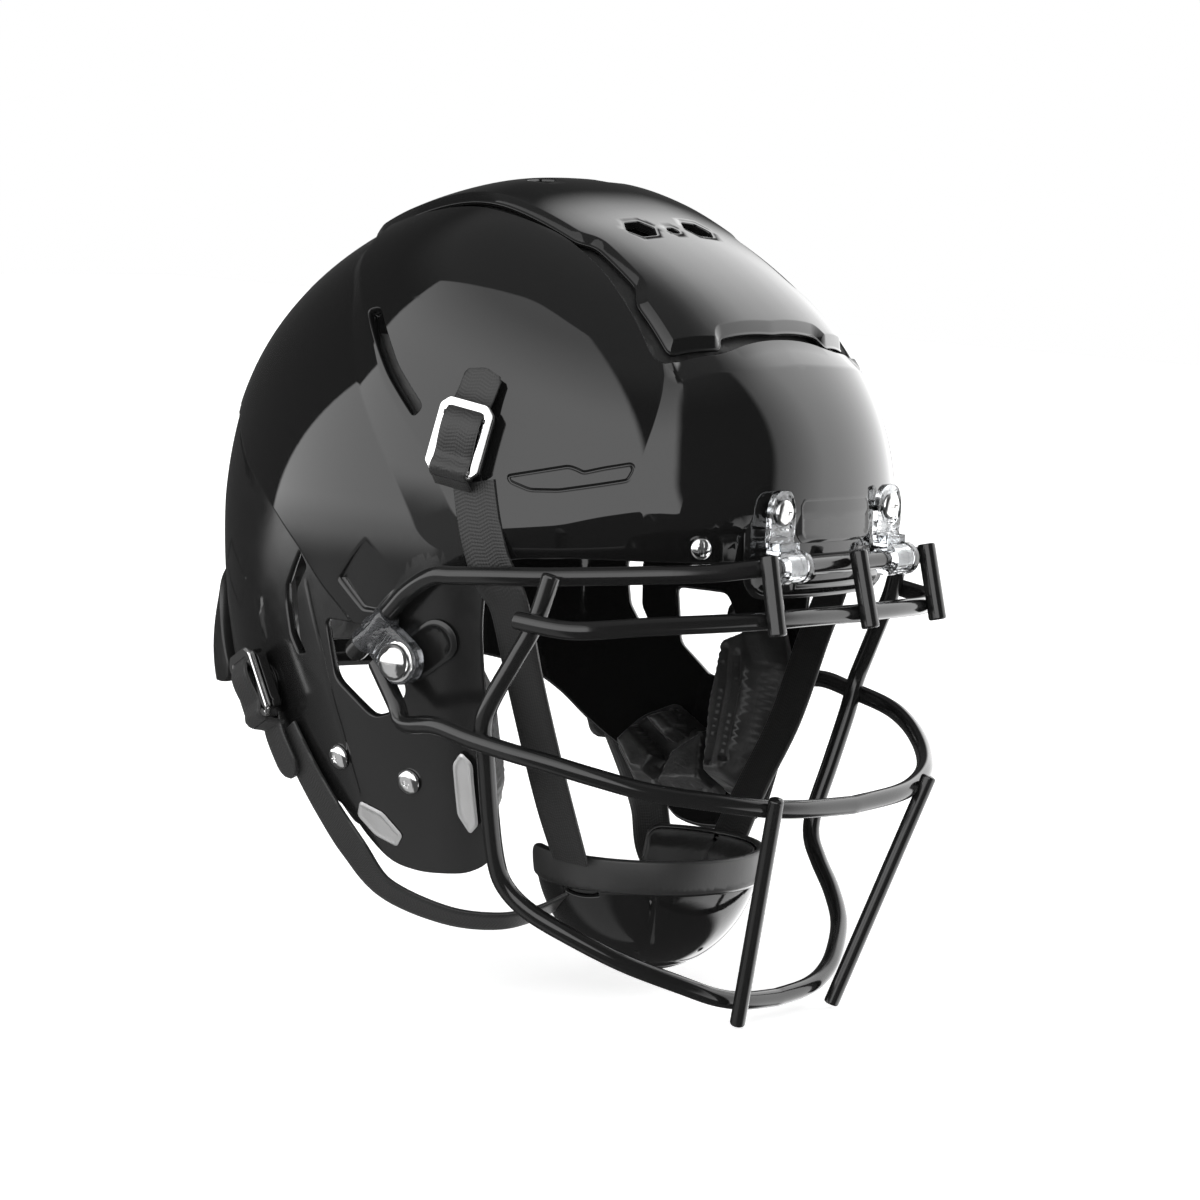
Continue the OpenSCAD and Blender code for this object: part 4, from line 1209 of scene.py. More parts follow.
tag_frame = (np.array([0.0, 151.0, -60.5]), np.array([[-1.0, 0, 0], [0, 0, 1.0], [0, 1.0, 0]]))
full_turn = np.linspace(0, 2 * math.pi, 41)
CIRCLE = np.stack([np.cos(full_turn), np.sin(full_turn)], -1)[:-1]
tag_loop = 6 * CIRCLE + 14 * np.sign(CIRCLE) * [1, 0]
tag = flat_plate("rear_tag_visual", tag_frame, [tag_loop], -1.2, 0.6, WHITE, bulge=0.5,
                 lift=lambda uv: -0.3 * ramp(depth_in(uv, tag_loop), 1.2, 1.6))
finish_piece(tag, "helmet", "rear_label", slot="white_label")

# ---------------------------------------- foil labels on the jaw flaps, with no lettering
JAW_LABELS = {"front": [(-53, -83), (-49, -79), (-45, -84), (-44, -104), (-48, -111), (-52, -107)],
              "rear": [(3, -105), (6, -111), (-2, -118), (-12, -121), (-16, -116), (-8, -108)]}
for end, outline in JAW_LABELS.items():
    loop = fillet(outline, 1.5)

    def label_top(uv, loop=loop):
        P = side(uv)
        d = depth_in(uv, loop)
        h = 0.45 + 0.5 * ramp(d, 0, 0.5) - 0.25 * ramp(d, 1.1, 1.5)
        return P + h[:, None] * shell_normal(P)

    one = solid("jaw_label_{}_right".format(end), label_top,
                lambda uv: side(uv) + 0.3 * shell_normal(side(uv)), [loop],
                SILVER, step=1.0, bulge=0.15, lines=insets(loop, 0.5, 1.1, 1.5))
    both_sides(one, "helmet", "jaw_labels_" + end, "silver_label")

# ---------------------------------------- face mask wires
BAR_Y, BAR_Z, BAR_END = -147.0, -2.0, 44.0
WIRE_R, CHIN_WIRE_R = 3.5, 3.0
SIDE_RAIL = [(BAR_END + 1, BAR_Y, BAR_Z), (53, -144, -2), (66, -134, -4), (82, -119, -5.5), (96, -102, -7),
             (107, -86, -8.3), (115, -70, -9.3), (119.5, -55, -10.5), (121.5, -46, -11.5),
             (121.5, -35, -18), (121.5, -27, -26), (121.5, -10.8, -43)]
BROW_BAR = [(0, -154, -20.5), (30, -152.5, -20.5), (50, -149, -21), (72, -139, -22), (92, -127.5, -23),
            (112, -114, -24.8), (118, -105, -25), (122, -88, -23.5)]
MID_BAR = [(0, -157.5, -93.5), (30, -156, -92.5), (50, -151.5, -91), (70, -143, -88), (90, -129, -84.5),
           (105, -114, -79.5), (115, -100, -75.3), (121, -87, -72.5), (124, -70, -69.5), (125, -54, -66.5),
           (124, -38, -67.6), (121.5, -31, -61), (119.2, -19, -47.5)]
FRAME_BAR = [(0, -127, -173), (20, -126.5, -171.8), (35, -124, -169), (50, -118.6, -163.4),
             (70, -106.6, -154.7),
             (84, -92.5, -145.5), (94, -78.5, -136.5), (99, -70.5, -128), (103, -68.3, -118),
             (110, -70, -99), (117, -72.4, -77), (120.5, -73, -65), (120.8, -77, -54), (118, -85.5, -37),
             (116, -91.6, -24.5), (114.3, -96.5, -7)]


def whole(half):
    half = np.asarray(half, float)
    return np.vstack([mirror_x(half)[::-1], half[1:]])


def bent(points, steps=8):
    return resample(catmull(points, steps), 2.0)


rail = catmull(SIDE_RAIL, 8)
top_wire = np.vstack([[(0, BAR_Y, BAR_Z), (BAR_END - 6, BAR_Y, BAR_Z), (BAR_END - 2, BAR_Y, BAR_Z)], rail])
wires = [("mask_top_wire", bent(whole(top_wire), 1), WIRE_R,
          ("top_bar", "side_rail_right", "side_rail_left")),
         ("mask_brow_wire", bent(whole(catmull(BROW_BAR, 6)), 1), WIRE_R, ("brow_bar",)),
         ("mask_mid_wire", bent(whole(catmull(MID_BAR, 6)), 1), WIRE_R, ("mid_bar",)),
         ("mask_frame_wire", bent(whole(catmull(FRAME_BAR, 6)), 1), WIRE_R, ("frame_bar",)),
         ("mask_link_middle", densify([(0, -153.6, 2.5), (0, -161, -24.5)], 2), WIRE_R, ("brow_links",)),
         ("mask_link_right", densify([(-52, -149.5, 2.5), (-53, -156, -25)], 2), WIRE_R, ("brow_links",)),
         ("mask_link_left", densify([(52, -149.5, 2.5), (53, -156, -25)], 2), WIRE_R, ("brow_links",)),
         ("mask_chin_wire_right", densify([(-50.5, -158, -87.5), (-31, -132, -178)], 2), CHIN_WIRE_R,
          ("chin_bars",)),
         ("mask_chin_wire_left", densify([(50.5, -158, -87.5), (31, -132, -178)], 2), CHIN_WIRE_R,
          ("chin_bars",))]
for name, path, radius, nodes in wires:
    finish_piece(tube(name, path, radius, WIRE), "facemask", *nodes, slot="mask_wire")

# ---------------------------------------- clear front clips and their cross-head screws
CLIP_X, CLIP_BACK = SCREW_X, -140.4
SADDLE_ARC = (100, 395)
SADDLE_PROFILE = ((-7.5, 5.6), (-7.2, 6.2), (-4.2, 6.4), (-3.8, 5.9), (3.8, 5.9), (4.2, 6.4), (7.2, 6.2),
                  (7.5, 5.6), (7.5, 3.62), (-7.5, 3.62))
clip_frame = (np.array([-CLIP_X, CLIP_BACK, 0.0]), np.array([[1.0, 0, 0], [0, 0, -1.0], [0, 1.0, 0]]))
screw_bore = [0, SCREW_Z] + 2.7 * CIRCLE
tongue = fillet([(-7.5, 4), (7.5, 4), (7.5, 20), (4.5, 26), (-4.5, 26), (-7.5, 20)], 4)


def tongue_lift(uv):
    d = depth_in(uv, tongue)
    r = np.hypot(uv[:, 0], uv[:, 1] - SCREW_Z)
    pocket = 0.8 * ramp(r, 7.0, 6.2)
    edge = 0.5 * (1 - ramp(d, 0, 0.8))
    groove = 0.5 * np.exp(-(((uv[:, 1] - 8.5) / 0.9) ** 2))
    return -pocket - edge - groove


def cross_slot(x, y):
    inside_cross = np.minimum(np.abs(x), np.abs(y))
    return 0.9 * (1 - ramp(inside_cross, 0.42, 0.62)) * (1 - ramp(np.hypot(x, y), 2.3, 2.7))


DOME = [(1.0, 0.0), (1.0, 0.18), (0.97, 0.32), (0.9, 0.5), (0.78, 0.68), (0.6, 0.84), (0.4, 0.94),
        (0.2, 0.99), (0.02, 1.0)]


def domed(name, frame_of, r, h, carve=None, skirt=0.35):
    profile = [(r * p, skirt + (h - skirt) * q) for p, q in DOME]
    return lathe(name, frame_of, [(r, 0)] + profile, CHROME if h > 2.3 else STEEL, n=72, carve=carve,
                 radial=0.28)


for side_name, sign in (("right", 1), ("left", -1)):
    body = flat_plate("clip_tongue_" + side_name, clip_frame, [tongue, screw_bore], 0.15, 3.2, CLEAR,
                      step=1.1, bulge=0.4, lift=tongue_lift)
    # a saddle round the top wire, with a stepped rib on each side
    a_loop = np.radians(np.linspace(*SADDLE_ARC, 44))
    rows = [[(x - CLIP_X, BAR_Y + r * math.cos(t), BAR_Z + r * math.sin(t)) for t in a_loop]
            for x, r in SADDLE_PROFILE]
    m, k = len(rows), len(a_loop)
    faces = [[i * k + j, i * k + j + 1, (i + 1) % m * k + j + 1, (i + 1) % m * k + j] for i in range(m)
             for j in range(k - 1)]
    faces += [[i * k for i in range(m)][::-1], [i * k + k - 1 for i in range(m)]]
    saddle = make("clip_saddle_" + side_name, np.array(rows).reshape(-1, 3), faces, CLEAR, sharp=30)
    neck_frame = (np.array([-CLIP_X, BAR_Y, 0.0]), np.array([[1.0, 0, 0], [0, 1.0, 0], [0, 0, 1.0]]))
    neck = flat_plate("clip_neck_" + side_name, neck_frame,
                      [fillet([(-6.5, 0.5), (6.5, 0.5), (6.5, 6.4), (-6.5, 6.4)], 0.8)],
                      2.6, 7.0, CLEAR, step=1.2, bulge=0.3)
    screw = domed("clip_screw_" + side_name, (np.array([-CLIP_X, CLIP_BACK - 2.5, SCREW_Z]), clip_frame[1]),
                  5.0, 2.2, cross_slot)
    shank = lathe("clip_shank_" + side_name, (np.array([-CLIP_X, CLIP_BACK - 2.6, SCREW_Z]), clip_frame[1]),
                  [(2.3, -11.5), (2.3, 0.2), (0.02, 0.2)], STEEL, n=24, radial=0.6)
    parts = [body, saddle, neck, screw, shank]
    for obj in parts:
        if sign < 0:
            left = mirrored(obj, obj.name)
            bpy.data.objects.remove(obj)
            obj = left
        metal_piece = "screw" in obj.name or "shank" in obj.name
        finish_piece(obj, "helmet", "front_clip_screws" if metal_piece else "front_clip_" + side_name,
                     slot="chrome" if metal_piece else "clear_clip")

# ---------------------------------------- domed screws on the brow and the jaw flaps
DOMED_SCREWS = (("brow_screw", "brow_screws", -124, 4, 4.2, 2.4),
                ("jaw_screw_rear", "jaw_screws", 11, -88.5, 5, 2.6),
                ("jaw_screw_front", "jaw_screws", -24, -93.5, 5, 2.6))
for name, node, y, z, r, h in DOMED_SCREWS:
    def socket(x, y, r=r):
        a = np.arctan2(y, x)
        star = 1.25 + 0.28 * np.cos(6 * a)
        return 0.8 * (1 - ramp(np.hypot(x, y), star - 0.15, star + 0.1))
    one = domed(name + "_right", on_side(y, z, 0.35), r, h, cross_slot if node == "brow_screws" else socket)
    both_sides(one, "helmet", node, "chrome")

# ---------------------------------------- side clips: smoky loop, ribbed lobe, base, quarter turn
PIVOT = np.array([-118.5, -33.0, -45.0])
side_frame = (PIVOT, np.array([[0.0, 0, -1.0], [-1.0, 0, 0], [0, 1.0, 0]]))
LOBE_ENDS = ((-12, 9, 7.0, 53), (0, 0, 8.4, 233))  # x, y, radius and the angle where each round end starts
lobe = np.vstack([np.stack([cx + r * np.cos(t), cy + r * np.sin(t)], -1)
                  for cx, cy, r, start in LOBE_ENDS
                  for t in [np.radians(np.linspace(start, start + 180, 20))]])
bore = 3.7 * CIRCLE


def lobe_lift(uv):
    d = depth_in(uv, lobe)
    along = uv @ np.array([-0.8, 0.6])
    h = -1.4 * (1 - soft_ramp(d / 2.2, 0.1))
    for rib in (5.5, 8.0, 10.5):
        h = h - 0.9 * np.exp(-(((along - rib) / 0.55) ** 2)) * ramp(d, 1.2, 2.2)
    r = np.hypot(uv[:, 0], uv[:, 1])
    return h - 0.8 * (1 - ramp(r, 7.0, 7.5)) + 0.5 * np.exp(-(((r - 4.6) / 0.4) ** 2))


lobe_plate = flat_plate("side_clip_lobe_right", side_frame, [lobe, bore], 0.2, 7.0, SMOKY, step=1.0,
                        bulge=0.5, lift=lobe_lift)
SLEEVE_FROM, SLEEVE_TO = np.array([-121.5, -25.5, -28.9]), np.array([-121.5, -13.5, -40.3])
sleeve_axis = unit(SLEEVE_TO - SLEEVE_FROM)
sleeve_long = np.linalg.norm(SLEEVE_TO - SLEEVE_FROM)
sleeve_path = SLEEVE_FROM + np.linspace(0, sleeve_long, 34)[:, None] * sleeve_axis
along = np.linspace(0, 1, 34)
collars = (np.abs(along - 0.08) < 0.07).astype(float) + (np.abs(along - 0.92) < 0.07)
sleeve_r = 5.0 + 0.45 * collars - 0.5 * (np.abs(along - 0.5) < 0.17)
sleeve = tube("side_clip_sleeve_right", sleeve_path, sleeve_r, SMOKY, sides=36, tip=0.6)
stop_path = SLEEVE_TO + np.linspace(0, 6.2, 8)[:, None] * sleeve_axis
stop = tube("mask_end_cap_right", stop_path, np.array([3.8, 4.3, 4.5, 4.5, 4.5, 4.4, 4.2, 3.7]), BLOCK,
            sides=30, tip=1.2)
BASE_FROM, BASE_TO, BASE_R = np.array([-31.0, -45.0]), np.array([-42.0, -37.0]), 8.0
stadium = np.array([(BASE_TO if q @ (BASE_TO - BASE_FROM) > 0 else BASE_FROM) + BASE_R * q for q in CIRCLE])
base_bore = [-33, -45] + 4.4 * CIRCLE


def base_top(uv):
    P = side(uv)
    d = depth_in(uv, stadium)
    h = 0.9 + 1.0 * ramp(d, 0, 0.9) - 0.5 * ramp(d, 2.0, 2.4)
    return P + h[:, None] * shell_normal(P)


base = solid("side_clip_base_right", base_top, lambda uv: side(uv) + 0.35 * shell_normal(side(uv)),
             [stadium, base_bore], BLOCK, step=1.4, bulge=0.3, lines=insets(stadium, 0.9, 2.0, 2.4))
turn_frame = (np.array([-118.2, -33.0, -45.0]), side_frame[1])
TURN_R, TURN_DOME = 7.0, 4.2
turn_profile = [(3.45, 0.0), (3.45, 6.6), (TURN_R, 6.9), (TURN_R, 7.5)]
turn_profile += [(TURN_R * p, 7.6 + TURN_DOME * q) for p, q in DOME]
turn = lathe("quarter_turn_visual_right", turn_frame, turn_profile, CHROME, n=72, radial=0.5)
washer = lathe("quarter_turn_ring_right", turn_frame,
               [(6.2, 5.2), (7.7, 5.5), (7.9, 6.0), (7.7, 6.6), (6.4, 6.9), (5.2, 6.9)],
               STEEL, n=60, radial=0.5)
for obj, body, node, slot in ((lobe_plate, "facemask", "side_clip_{}", "smoky_clip"),
                              (sleeve, "facemask", "side_clip_{}", "smoky_clip"),
                              (base, "helmet", "clip_base_{}", "snap_block"),
                              (stop, "facemask", "side_clip_{}", "snap_block"),
                              (turn, "quarter_turn_{}", "quarter_turn_{}", "chrome"),
                              (washer, "quarter_turn_{}", "quarter_turn_{}", "chrome")):
    both_sides(obj, body, node, slot)

# ---------------------------------------- snap buckles: block, ring snap, bright frame, strap
SNAPS = {"upper": (-51, 39.5, -10), "lower": (52, -64, 24)}  # y, z and turn of each snap
PIN_Y, PIN_OUT, PIN_R, PIN_HALF = -13.0, 9.7, 1.45, 8.6
KNUCKLE_X, KNUCKLE_W, KNUCKLE_R = (-7.5, 3.5), 4.0, 2.6
LOOP_W, LOOP_THICK = 15.4, 1.3
TOOTH_PITCH, TEETH_HALF = 1.97, 7.9
SNAP_RING = [(4.4, 0.5), (5.0, 0.35), (6.9, 0.4), (7.1, 0.7), (6.9, 0.9), (7.2, 1.0), (7.9, 1.2),
             (7.9, 1.7), (7.5, 1.9), (7.6, 2.1), (8.3, 2.4), (8.2, 2.9), (7.6, 3.1), (4.4, 3.2), (0.1, 3.2)]
STUD = [(6.0, 0.2), (6.2, 0.6), (5.6, 1.0), (3.2, 1.1), (2.9, 1.8), (3.9, 3.2), (3.8, 4.2), (2.6, 4.9),
        (0.1, 5.0)]
RISE = [(0, -18.5, 3.6), (0, -17.4, 5.6), (0, -16.2, 8.2), (0, -15.5, 10.2)]
OVER = [(0, -15.4, 10.4), (0, -13.5, 12.3), (0, -11.0, 12.1), (0, -8.0, 10.9), (0, -3.0, 11.9),
        (0, 2.0, 12.6)]
SPARE = {"upper": [(0, 6.0, 12.4), (0, 9.4, 10.9), (0, 12.0, 8.4), (0, 16.0, 6.2), (0, 22, 4.6),
                   (0, 27, 3.4)],
         "lower": [(0, 6.0, 12.2), (0, 9.4, 10.2), (0, 11.3, 8.3)]}
SPARE_TIP = {"upper": 3.5, "lower": 0}


def strap_loop(frame_of, route, tip):
    """A short run of webbing in a buckle's own frame."""
    lie = catmull(route, 8)
    slope = unit(np.gradient(lie, axis=0))
    faces_out = np.stack([0 * slope[:, 0], -slope[:, 2], slope[:, 1]], -1) @ frame_of[1].T
    return ribbon("strap_loop", place(frame_of, lie), faces_out, WEBBING, width=LOOP_W, thick=LOOP_THICK,
                  ends=(0, tip))


def snap_pieces(frame_of):
    """The block, its ring snap, and the two knuckles that hold the frame's pin."""
    axes = frame_of[1]
    outline = fillet([(-9, -12), (9, -12), (9, 9), (6, 12), (-6, 12), (-9, 9)], 1.0)

    def lift(uv):
        h = -1.2 * (1 - soft_ramp(depth_in(uv, outline) / 1.5, 0.1))
        h = h - 0.5 * np.exp(-(((np.hypot(uv[:, 0], uv[:, 1]) - 7.6) / 0.4) ** 2))
        return h - 0.6 * np.exp(-(((uv[:, 1] + 9) / 0.5) ** 2))

    pieces = [flat_plate("block", frame_of, [outline], 3.0, 8.0, BLOCK, step=0.9, bulge=0.5, lift=lift),
              lathe("snap_rings", frame_of, SNAP_RING, BLOCK, n=60, radial=0.4)]
    along_pin = np.stack([axes[:, 1], axes[:, 2], axes[:, 0]], 1)
    barrel = [(0.1, 0), (KNUCKLE_R - 0.5, 0), (KNUCKLE_R, 0.4), (KNUCKLE_R, KNUCKLE_W - 0.4),
              (KNUCKLE_R - 0.5, KNUCKLE_W), (0.1, KNUCKLE_W)]
    for x in KNUCKLE_X:
        at = place(frame_of, (x, PIN_Y, PIN_OUT))
        foot = fillet([(x, -15.4), (x + KNUCKLE_W, -15.4), (x + KNUCKLE_W, -10.5), (x, -10.5)], 0.6)
        pieces += [lathe("knuckle", (at, along_pin), barrel, BLOCK, n=32, radial=0.5),
                   flat_plate("knuckle_foot", frame_of, [foot], 5.0, 9.6, BLOCK, step=0.9, bulge=0.2)]
    return pieces + [strap_loop(frame_of, RISE, 0)]


def frame_pieces(kind, frame_of):
    """The bright frame with its pin, toothed edge and slide bar, and the webbing that passes over it."""
    outer = fillet([(-7.6, -14.6), (7.6, -14.6), (10.6, -11.6), (10.6, 10.4), (7.6, 13.4), (-7.6, 13.4),
                    (-10.6, 10.4), (-10.6, -11.6)], 0.9)
    inner = fillet([(-8.1, -11.4), (8.1, -11.4), (8.1, 9.4), (6.7, 10.8), (-6.7, 10.8), (-8.1, 9.4)], 0.9)
    pin = place(frame_of, [(-PIN_HALF, PIN_Y, PIN_OUT), (PIN_HALF, PIN_Y, PIN_OUT)])
    bar = place(frame_of, [(-8.4, 7.6, 10.1), (8.4, 7.6, 10.1)])
    teeth = [(-TEETH_HALF, -11.2), (TEETH_HALF, -11.2), (TEETH_HALF, -9.0)]
    for i in range(8):
        x = TEETH_HALF - TOOTH_PITCH * i
        teeth += [(x - 0.5, -7.4), (x - 1.0, -7.4), (x - 1.6, -9.0)]
    teeth += [(-TEETH_HALF, -9.0)]
    return [flat_plate("frame", frame_of, [outer, inner], 8.3, 10.9, CHROME, step=0.8, bulge=0.45, boxy=0.8,
                       rings=9), tube("pin", densify(pin, 1.5), PIN_R, CHROME, sides=24, tip=0.4),
            flat_plate("teeth", frame_of, [np.array(teeth, float)], 8.6, 9.9, BLOCK, step=0.8, bulge=0.1),
            tube("slide_bar", densify(bar, 1.5), 1.25, BLOCK, sides=20, tip=0.3),
            strap_loop(frame_of, OVER + SPARE[kind], SPARE_TIP[kind])]


for kind, (y, z, spin) in SNAPS.items():
    frame_of = on_side(y, z, 0, spin)
    for part, group in (("snap", snap_pieces(frame_of)), ("buckle", frame_pieces(kind, frame_of))):
        for i, obj in enumerate(group):
            stem = obj.name.split(".")[0]
            obj.name = "{}_{}_{}_right".format(kind, stem, i)
            body = "{}_{}_{{}}".format(kind, part)
            if stem == "strap_loop":
                both_sides(obj, body, kind + "_strap_{}", "strap")
            else:
                both_sides(obj, body, body, "chrome" if stem in ("frame", "pin") else "snap_block")

# studs on the shell under each snap
for kind, (y, z, spin) in SNAPS.items():
    both_sides(lathe(kind + "_stud_right", on_side(y, z), STUD, CHROME, n=48, radial=0.4), "helmet",
               "snap_studs", "chrome")

# ---------------------------------------- chin straps
STRAP_W = 17.0
UPPER_LIES = [(-55.3, 24, 2), (-58.8, 8, 2), (-62.4, -4, 2), (-65.5, -11, 1.8)]
UPPER_FREE = [(-105, -70.5, -22), (-93, -69, -48), (-79, -68, -78), (-64, -65, -103), (-51.5, -63.5, -124)]
UPPER_FACES = [(-0.95, -0.2, -0.3), (-0.9, -0.1, -0.4), (-0.9, -0.1, -0.45), (-0.85, -0.1, -0.5),
               (-0.85, 0, -0.5)]
LOWER_LIES = [(40, -81, 2.4), (30, -96, 2.6), (20, -110, 2.8), (10, -124, 2.4)]
LOWER_FREE = [(-86, 0, -140), (-73, -20, -149), (-60, -36, -150.5), (-49, -46, -147), (-39, -53, -141)]
LOWER_FACES = [(-0.8, 0.1, -0.6), (-0.6, -0.1, -0.8), (-0.45, -0.25, -0.86), (-0.42, -0.2, -0.88),
               (-0.45, -0.1, -0.88)]


def laid(spots):
    """Points over the right side from (y, z, height off the shell), and their normals."""
    spots = np.array(spots, float)
    P = side(spots[:, :2])
    N = shell_normal(P)
    return P + spots[:, 2:] * N, N


for kind, lies, free, free_faces in (("upper", UPPER_LIES, UPPER_FREE, UPPER_FACES),
                                     ("lower", LOWER_LIES, LOWER_FREE, LOWER_FACES)):
    P, N = laid(lies)
    route = catmull(np.vstack([P, free]), 8)
    faces_out = catmull(np.vstack([N, free_faces]), 8)
    one = ribbon("{}_chin_strap_right".format(kind), route, faces_out, WEBBING, width=STRAP_W)
    left = mirrored(one, "{}_chin_strap_left".format(kind))
    for obj, side_name, sx in ((one, "right", 1), (left, "left", -1)):
        a, b = P[0] * [sx, 1, 1] * MM, P[2] * [sx, 1, 1] * MM
        tuple(a)
        tuple(b)
        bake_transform(obj)
        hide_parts("{}_strap_{}".format(kind, side_name))

# the lower strap's spare end hangs behind its buckle
TAIL_LIES = [(47, -76, 4.6), (44, -83, 5.6), (40, -91, 5.6), (36, -99, 5.2)]
P, N = laid(TAIL_LIES)
tail = ribbon("lower_strap_tail_right", catmull(P, 8), catmull(N, 8), WEBBING, width=16.0, ends=(0, 7))
both_sides(tail, "lower_snap_{}", "lower_strap_{}", "strap")

# ---------------------------------------- chin cup and its lining
CUP = np.array([0.0, -62.0, -122.0])
CUP_RADII = np.array([48.0, 43.0, 50.0])
CUP_BACK_Y = -34.0
SEAM_ANGLE = 46.0
RIM_AT, CUP_EDGE, BUTTON_R = 75.2, 89.5, 11.0


def cup_point(uv, shave, lift=0.0):
    """Polar chart of the bowl: the tip is at the middle and the rim at radius 90."""
    r = np.linalg.norm(uv, axis=1) + 1e-9
    e = np.radians(90 - r)
    ca, sa = uv[:, 0] / r, uv[:, 1] / r
    R = CUP_RADII[None] - np.asarray(shave)
    d = np.stack([np.cos(e) * ca, np.cos(e) * sa, -np.sin(e)], -1)
    return CUP + R * d + np.reshape(lift, (-1, 1)) * unit(d / R**2)


def cup_height(uv):
    r = np.linalg.norm(uv, axis=1)
    a = np.degrees(np.arctan2(uv[:, 0], -uv[:, 1]))
    h = 1.3 * ramp(r, 74, 76.5) - 0.5 * (1 - ramp(np.abs(r - 75.4), 0.2, 1.4))
    beside_seam = (np.abs(a) - SEAM_ANGLE) * np.maximum(r, 8) / 90
    h = h - 0.7 * np.exp(-((beside_seam / 1.1) ** 2)) * (r < 74) * (r > 26)
    h = h - 0.7 * np.exp(-(((r - 27) / 1.3) ** 2))
    h = h + 1.6 * ramp(BUTTON_R - r, 0, 1.6) * (1 - 0.25 * ramp(6 - r, 0, 2))
    return h


def cup_outline():
    """The rim, which stops at a flat plane behind the chin."""
    a = np.radians(np.linspace(-180, 180, 721)[:-1])
    sa = np.sin(a)
    cut = (CUP_BACK_Y - CUP[1]) / CUP_RADII[1]
    lim = np.where(sa > cut, np.degrees(np.arcsin(np.clip(cut / np.maximum(sa, 1e-6), 0, 1))), 90)
    far = np.where(sa > cut, lim, 90 * (cut / np.maximum(sa, 0.01)) ** 1.5)
    r = (CUP_EDGE**-16.0 + np.minimum(far, 1e4) ** -16.0) ** (-1 / 16.0)
    return densify(thin_out(np.stack([r * np.cos(a), r * np.sin(a)], -1), 1.2, True), 1.6, True)


def cup_slot(a_deg, r0, r1, half):
    """A slot for a strap: across the bowl at plan angle a_deg, between two radii."""
    q = math.radians(a_deg)
    c, s = math.cos(q), math.sin(q)
    pts = fillet([(r0, -half), (r1, -half), (r1, half), (r0, half)], 1.2)
    return np.stack([pts[:, 0] * c - pts[:, 1] * s, pts[:, 0] * s + pts[:, 1] * c], -1)


slots = [cup_slot(q, 70.5, 73.8, 15) for q in (-4, 184)]
holes = [[r * math.cos(q), r * math.sin(q)] + 2.2 * CIRCLE
         for r, q in ((40, math.radians(-90)), (40, math.radians(-35)), (40, math.radians(-145)))]
cup_loop = cup_outline()
arc = np.radians(np.linspace(-218, 38, 129))
ARC = np.stack([np.cos(arc), np.sin(arc)], -1)
cup_lines = [r * ARC for r in (74.0, RIM_AT, 76.5)]
cup_lines += [closed(r * CIRCLE) for r in (9.4, BUTTON_R, 25.5, 27.0, 28.5)]
for seam in (-SEAM_ANGLE, SEAM_ANGLE):
    for q in np.radians([seam - 1.4, seam, seam + 1.4]):
        cup_lines.append(np.array([(r * math.sin(q), -r * math.cos(q)) for r in (30, 72)]))
rim_z = CUP[2] - (CUP_RADII[2] + 0.5) * math.sin(math.radians(90 - RIM_AT))


def cup_finish(C):
    """0 glossy plastic, 1 the rubber rim."""
    return (C[:, 2] > rim_z).astype(int).tolist()


cup = solid("chin_cup_visual", lambda uv: cup_point(uv, 0.0, cup_height(uv)), lambda uv: cup_point(uv, 2.5),
            [cup_loop] + holes + slots, [CUP_PLASTIC, CUP_RIM], step=2.4, bulge=1.1, e=0.3, lines=cup_lines,
            face_material=cup_finish)
finish_piece(cup, "helmet", "chin_cup", slot="cup")


def lining_height(uv):
    r = np.linalg.norm(uv, axis=1)
    a = np.degrees(np.arctan2(uv[:, 0], -uv[:, 1]))
    grooves = np.exp(-((((a + 22.5) % 45 - 22.5) * np.maximum(r, 10) / 60 / 2.2) ** 2)) * ramp(r, 18, 30)
    return -(5.4 * ramp(88 - r, 0, 9) - 1.6 * grooves - 0.8 * np.exp(-(((r - 46) / 2.5) ** 2)))


cup_lining = solid("chin_cup_lining_visual", lambda uv: cup_point(uv, 3.1),
                   lambda uv: cup_point(uv, 4.0, lining_height(uv)),
                   [cup_loop * 0.975], CUP_FOAM, step=3.0, bulge=1.4, e=0.4)
finish_piece(cup_lining, "helmet", "chin_cup_liner", slot="cup_liner", fill=0.8)

# ---------------------------------------- liner: crowned vinyl pads with welded channels
PAD_OUT = -WALL - 0.4


def pad(name, node, chart, normal, loop, thick, seams=(), material=None, step=2.6, reach=9.0,
        seam_depth=0.2, seam_width=3.2, slot="liner_pad", fill=0.7, two_sided=False, lift=0.0):
    """A crowned vinyl pad under a chart of the shell, with a flat welded edge and welded seams."""
    loop = densify(loop, 2.5, True)
    seams = [np.asarray(s, float) for s in seams]

    def height(uv):
        d = depth_in(uv, loop)
        full = 0.22 + 0.78 * soft_ramp(np.clip(d, 0, 99) / reach, 0.16)
        for s in seams:
            ds, _ = seg_distance(uv, s)
            full = full * (1 - seam_depth * (1 - ramp(ds, 0.5, seam_width + 0.5)))
        # the flange round each pad is welded flat
        full = np.where(d < 1.6, 0.16 + 0.06 * d / 1.6, full)
        return thick * full

    def inner(uv):
        P = chart(uv)
        return P - (-PAD_OUT + height(uv) + lift)[:, None] * normal(P)

    def outer(uv):
        P = chart(uv)
        return P + (PAD_OUT - lift) * normal(P)

    tracks = [parallel(densify(s, 2.0), k) for s in seams
              for k in (-seam_width - 0.5, -0.5, 0.5, seam_width + 0.5)]
    obj = solid(name, inner, outer, [loop], material or VINYL, step=step, lines=tracks, bulge=1.0, e=0.3)
    if two_sided:
        both_sides(obj, "helmet", node + "_{}", slot, fill)
    else:
        finish_piece(obj, "helmet", node, slot=slot, fill=fill)


SLICE_W = 2.2


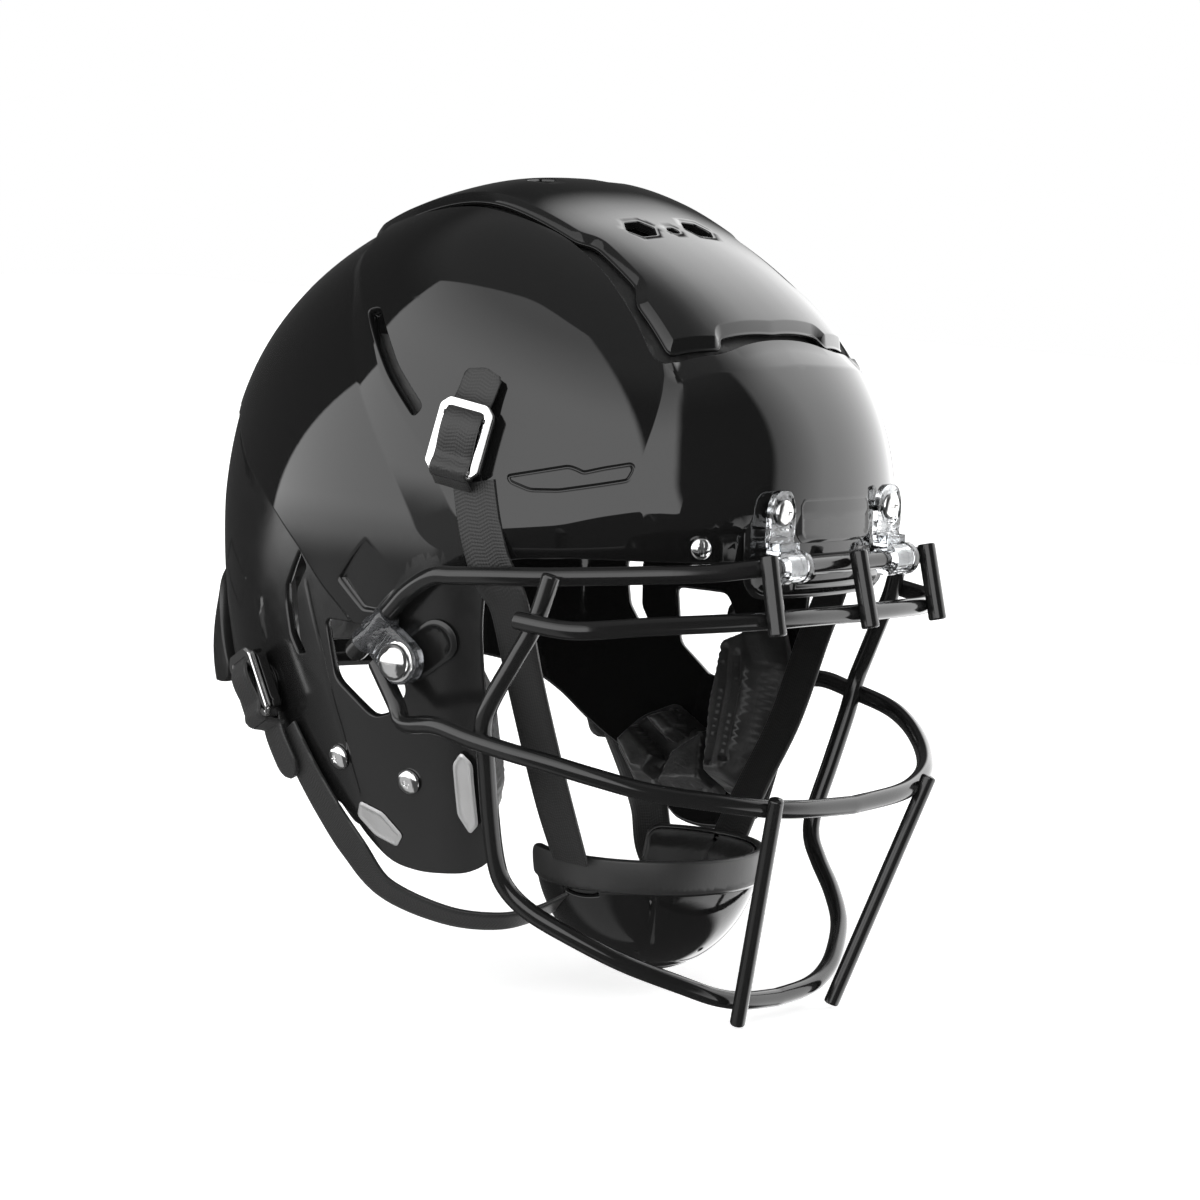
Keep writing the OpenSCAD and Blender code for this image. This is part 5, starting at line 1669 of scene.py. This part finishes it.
def slice_chart(uv):
    """The shell by plan angle and height angle, both in degrees times SLICE_W."""
    a, t = np.radians(uv[:, 0] / SLICE_W), uv[:, 1] / SLICE_W
    r = 90 - t
    return disc(np.stack([r * np.cos(a), r * np.sin(a)], -1))


def cells(t0, t1, a0, a1, r=8):
    return fillet(np.array([(a0, t0), (a1, t0), (a1, t1), (a0, t1)], float) * SLICE_W, r)


def line(*points):
    return np.array(points, float) * SLICE_W


pad("brow_pad_visual", "brow_pad", slice_chart, shell_normal, cells(3.5, 20.5, 217, 323, 12), 19.5,
    seams=[line((249, 3.5), (252, 20.5)), line((291, 3.5), (288, 20.5))], fill=0.7)
pad("side_pad_visual_right", "side_pad", slice_chart, shell_normal, cells(0, 35, 152, 203, 12), 18.5,
    seams=[line((152, 17), (203, 19)), line((177, 0), (178, 17.6)), line((166, 17.5), (168, 35)),
           line((189, 18.3), (187, 35))], two_sided=True)
pad("rear_pad_visual", "rear_pad", slice_chart, shell_normal, cells(-5, 39, 62, 118, 12), 18.5,
    seams=[line((62, 16), (118, 16)), line((80, -5), (80, 39)), line((100, -5), (100, 39))])
pad("nape_pad_visual", "nape_pad", slice_chart, shell_normal, cells(-27.5, -9.5, 57, 123, 10), 14.5,
    seams=[line((79, -27), (79, -9.5)), line((101, -27), (101, -9.5))])

JAW_PAD = [(-28, -52), (-48, -44), (-57, -62), (-57, -98), (-51, -114), (-33, -116), (-27, -84)]
pad("jaw_pad_visual_right", "jaw_pad", side, shell_normal, fillet(np.array(JAW_PAD, float), 5), 23.0,
    seams=[np.array([(-46, -60), (-49, -72), (-48.5, -103)], float),
           np.array([(-37, -58), (-39.5, -74), (-40, -106)], float)],
    material=JAW_VINYL, reach=4.5, seam_depth=0.08, seam_width=2.2, slot="jaw_pad", two_sided=True,
    step=1.8)
# three flat-topped cells that meet over the cheek, on one welded sheet
CHEEK_CELLS = {"rear": [(27, -103), (19, -93), (-1, -106), (3, -118), (14, -117)],
               "top": [(17, -91), (4, -86), (-13, -95), (-1, -102)],
               "front": [(-5, -103), (-24, -89), (-30, -117), (0, -121)]}
for cell, outline in CHEEK_CELLS.items():
    pad("cheek_cell_{}_right".format(cell), "cheek_pad", side, shell_normal,
        fillet(np.array(outline, float), 2.6), 13.5,
        material=JAW_VINYL, reach=3.2, slot="jaw_pad", two_sided=True, step=1.6)
pad("cheek_sheet_right", "cheek_pad", side, shell_normal,
    fillet(np.array([(28, -101), (19, -91), (4, -84), (-14, -93), (-25, -87), (-32, -118), (0, -123),
                     (16, -112)], float), 3), 4.0,
    material=JAW_VINYL, reach=2.0, slot="jaw_pad", two_sided=True, step=2.2)

# crown pad: six welded cells round a middle one, under the foam
PAD_MIDDLE, PAD_R, SPOKE_R, CELL_R = np.array([0.0, MID_Y + 4]), 44.5, 43.0, 17.0
SIXTHS = np.radians(np.arange(0, 360, 60))
six_ways = np.stack([np.cos(SIXTHS), np.sin(SIXTHS)], -1)
ring_of = PAD_MIDDLE + PAD_R * CIRCLE
hexagon = PAD_MIDDLE + CELL_R * six_ways
spokes = [np.array(ends) for ends in zip(hexagon, PAD_MIDDLE + SPOKE_R * six_ways)]
pad("crown_pad_visual", "crown_pad", crown, crown.normal, ring_of, 20.0, seams=[closed(hexagon)] + spokes,
    lift=8.0, reach=10)
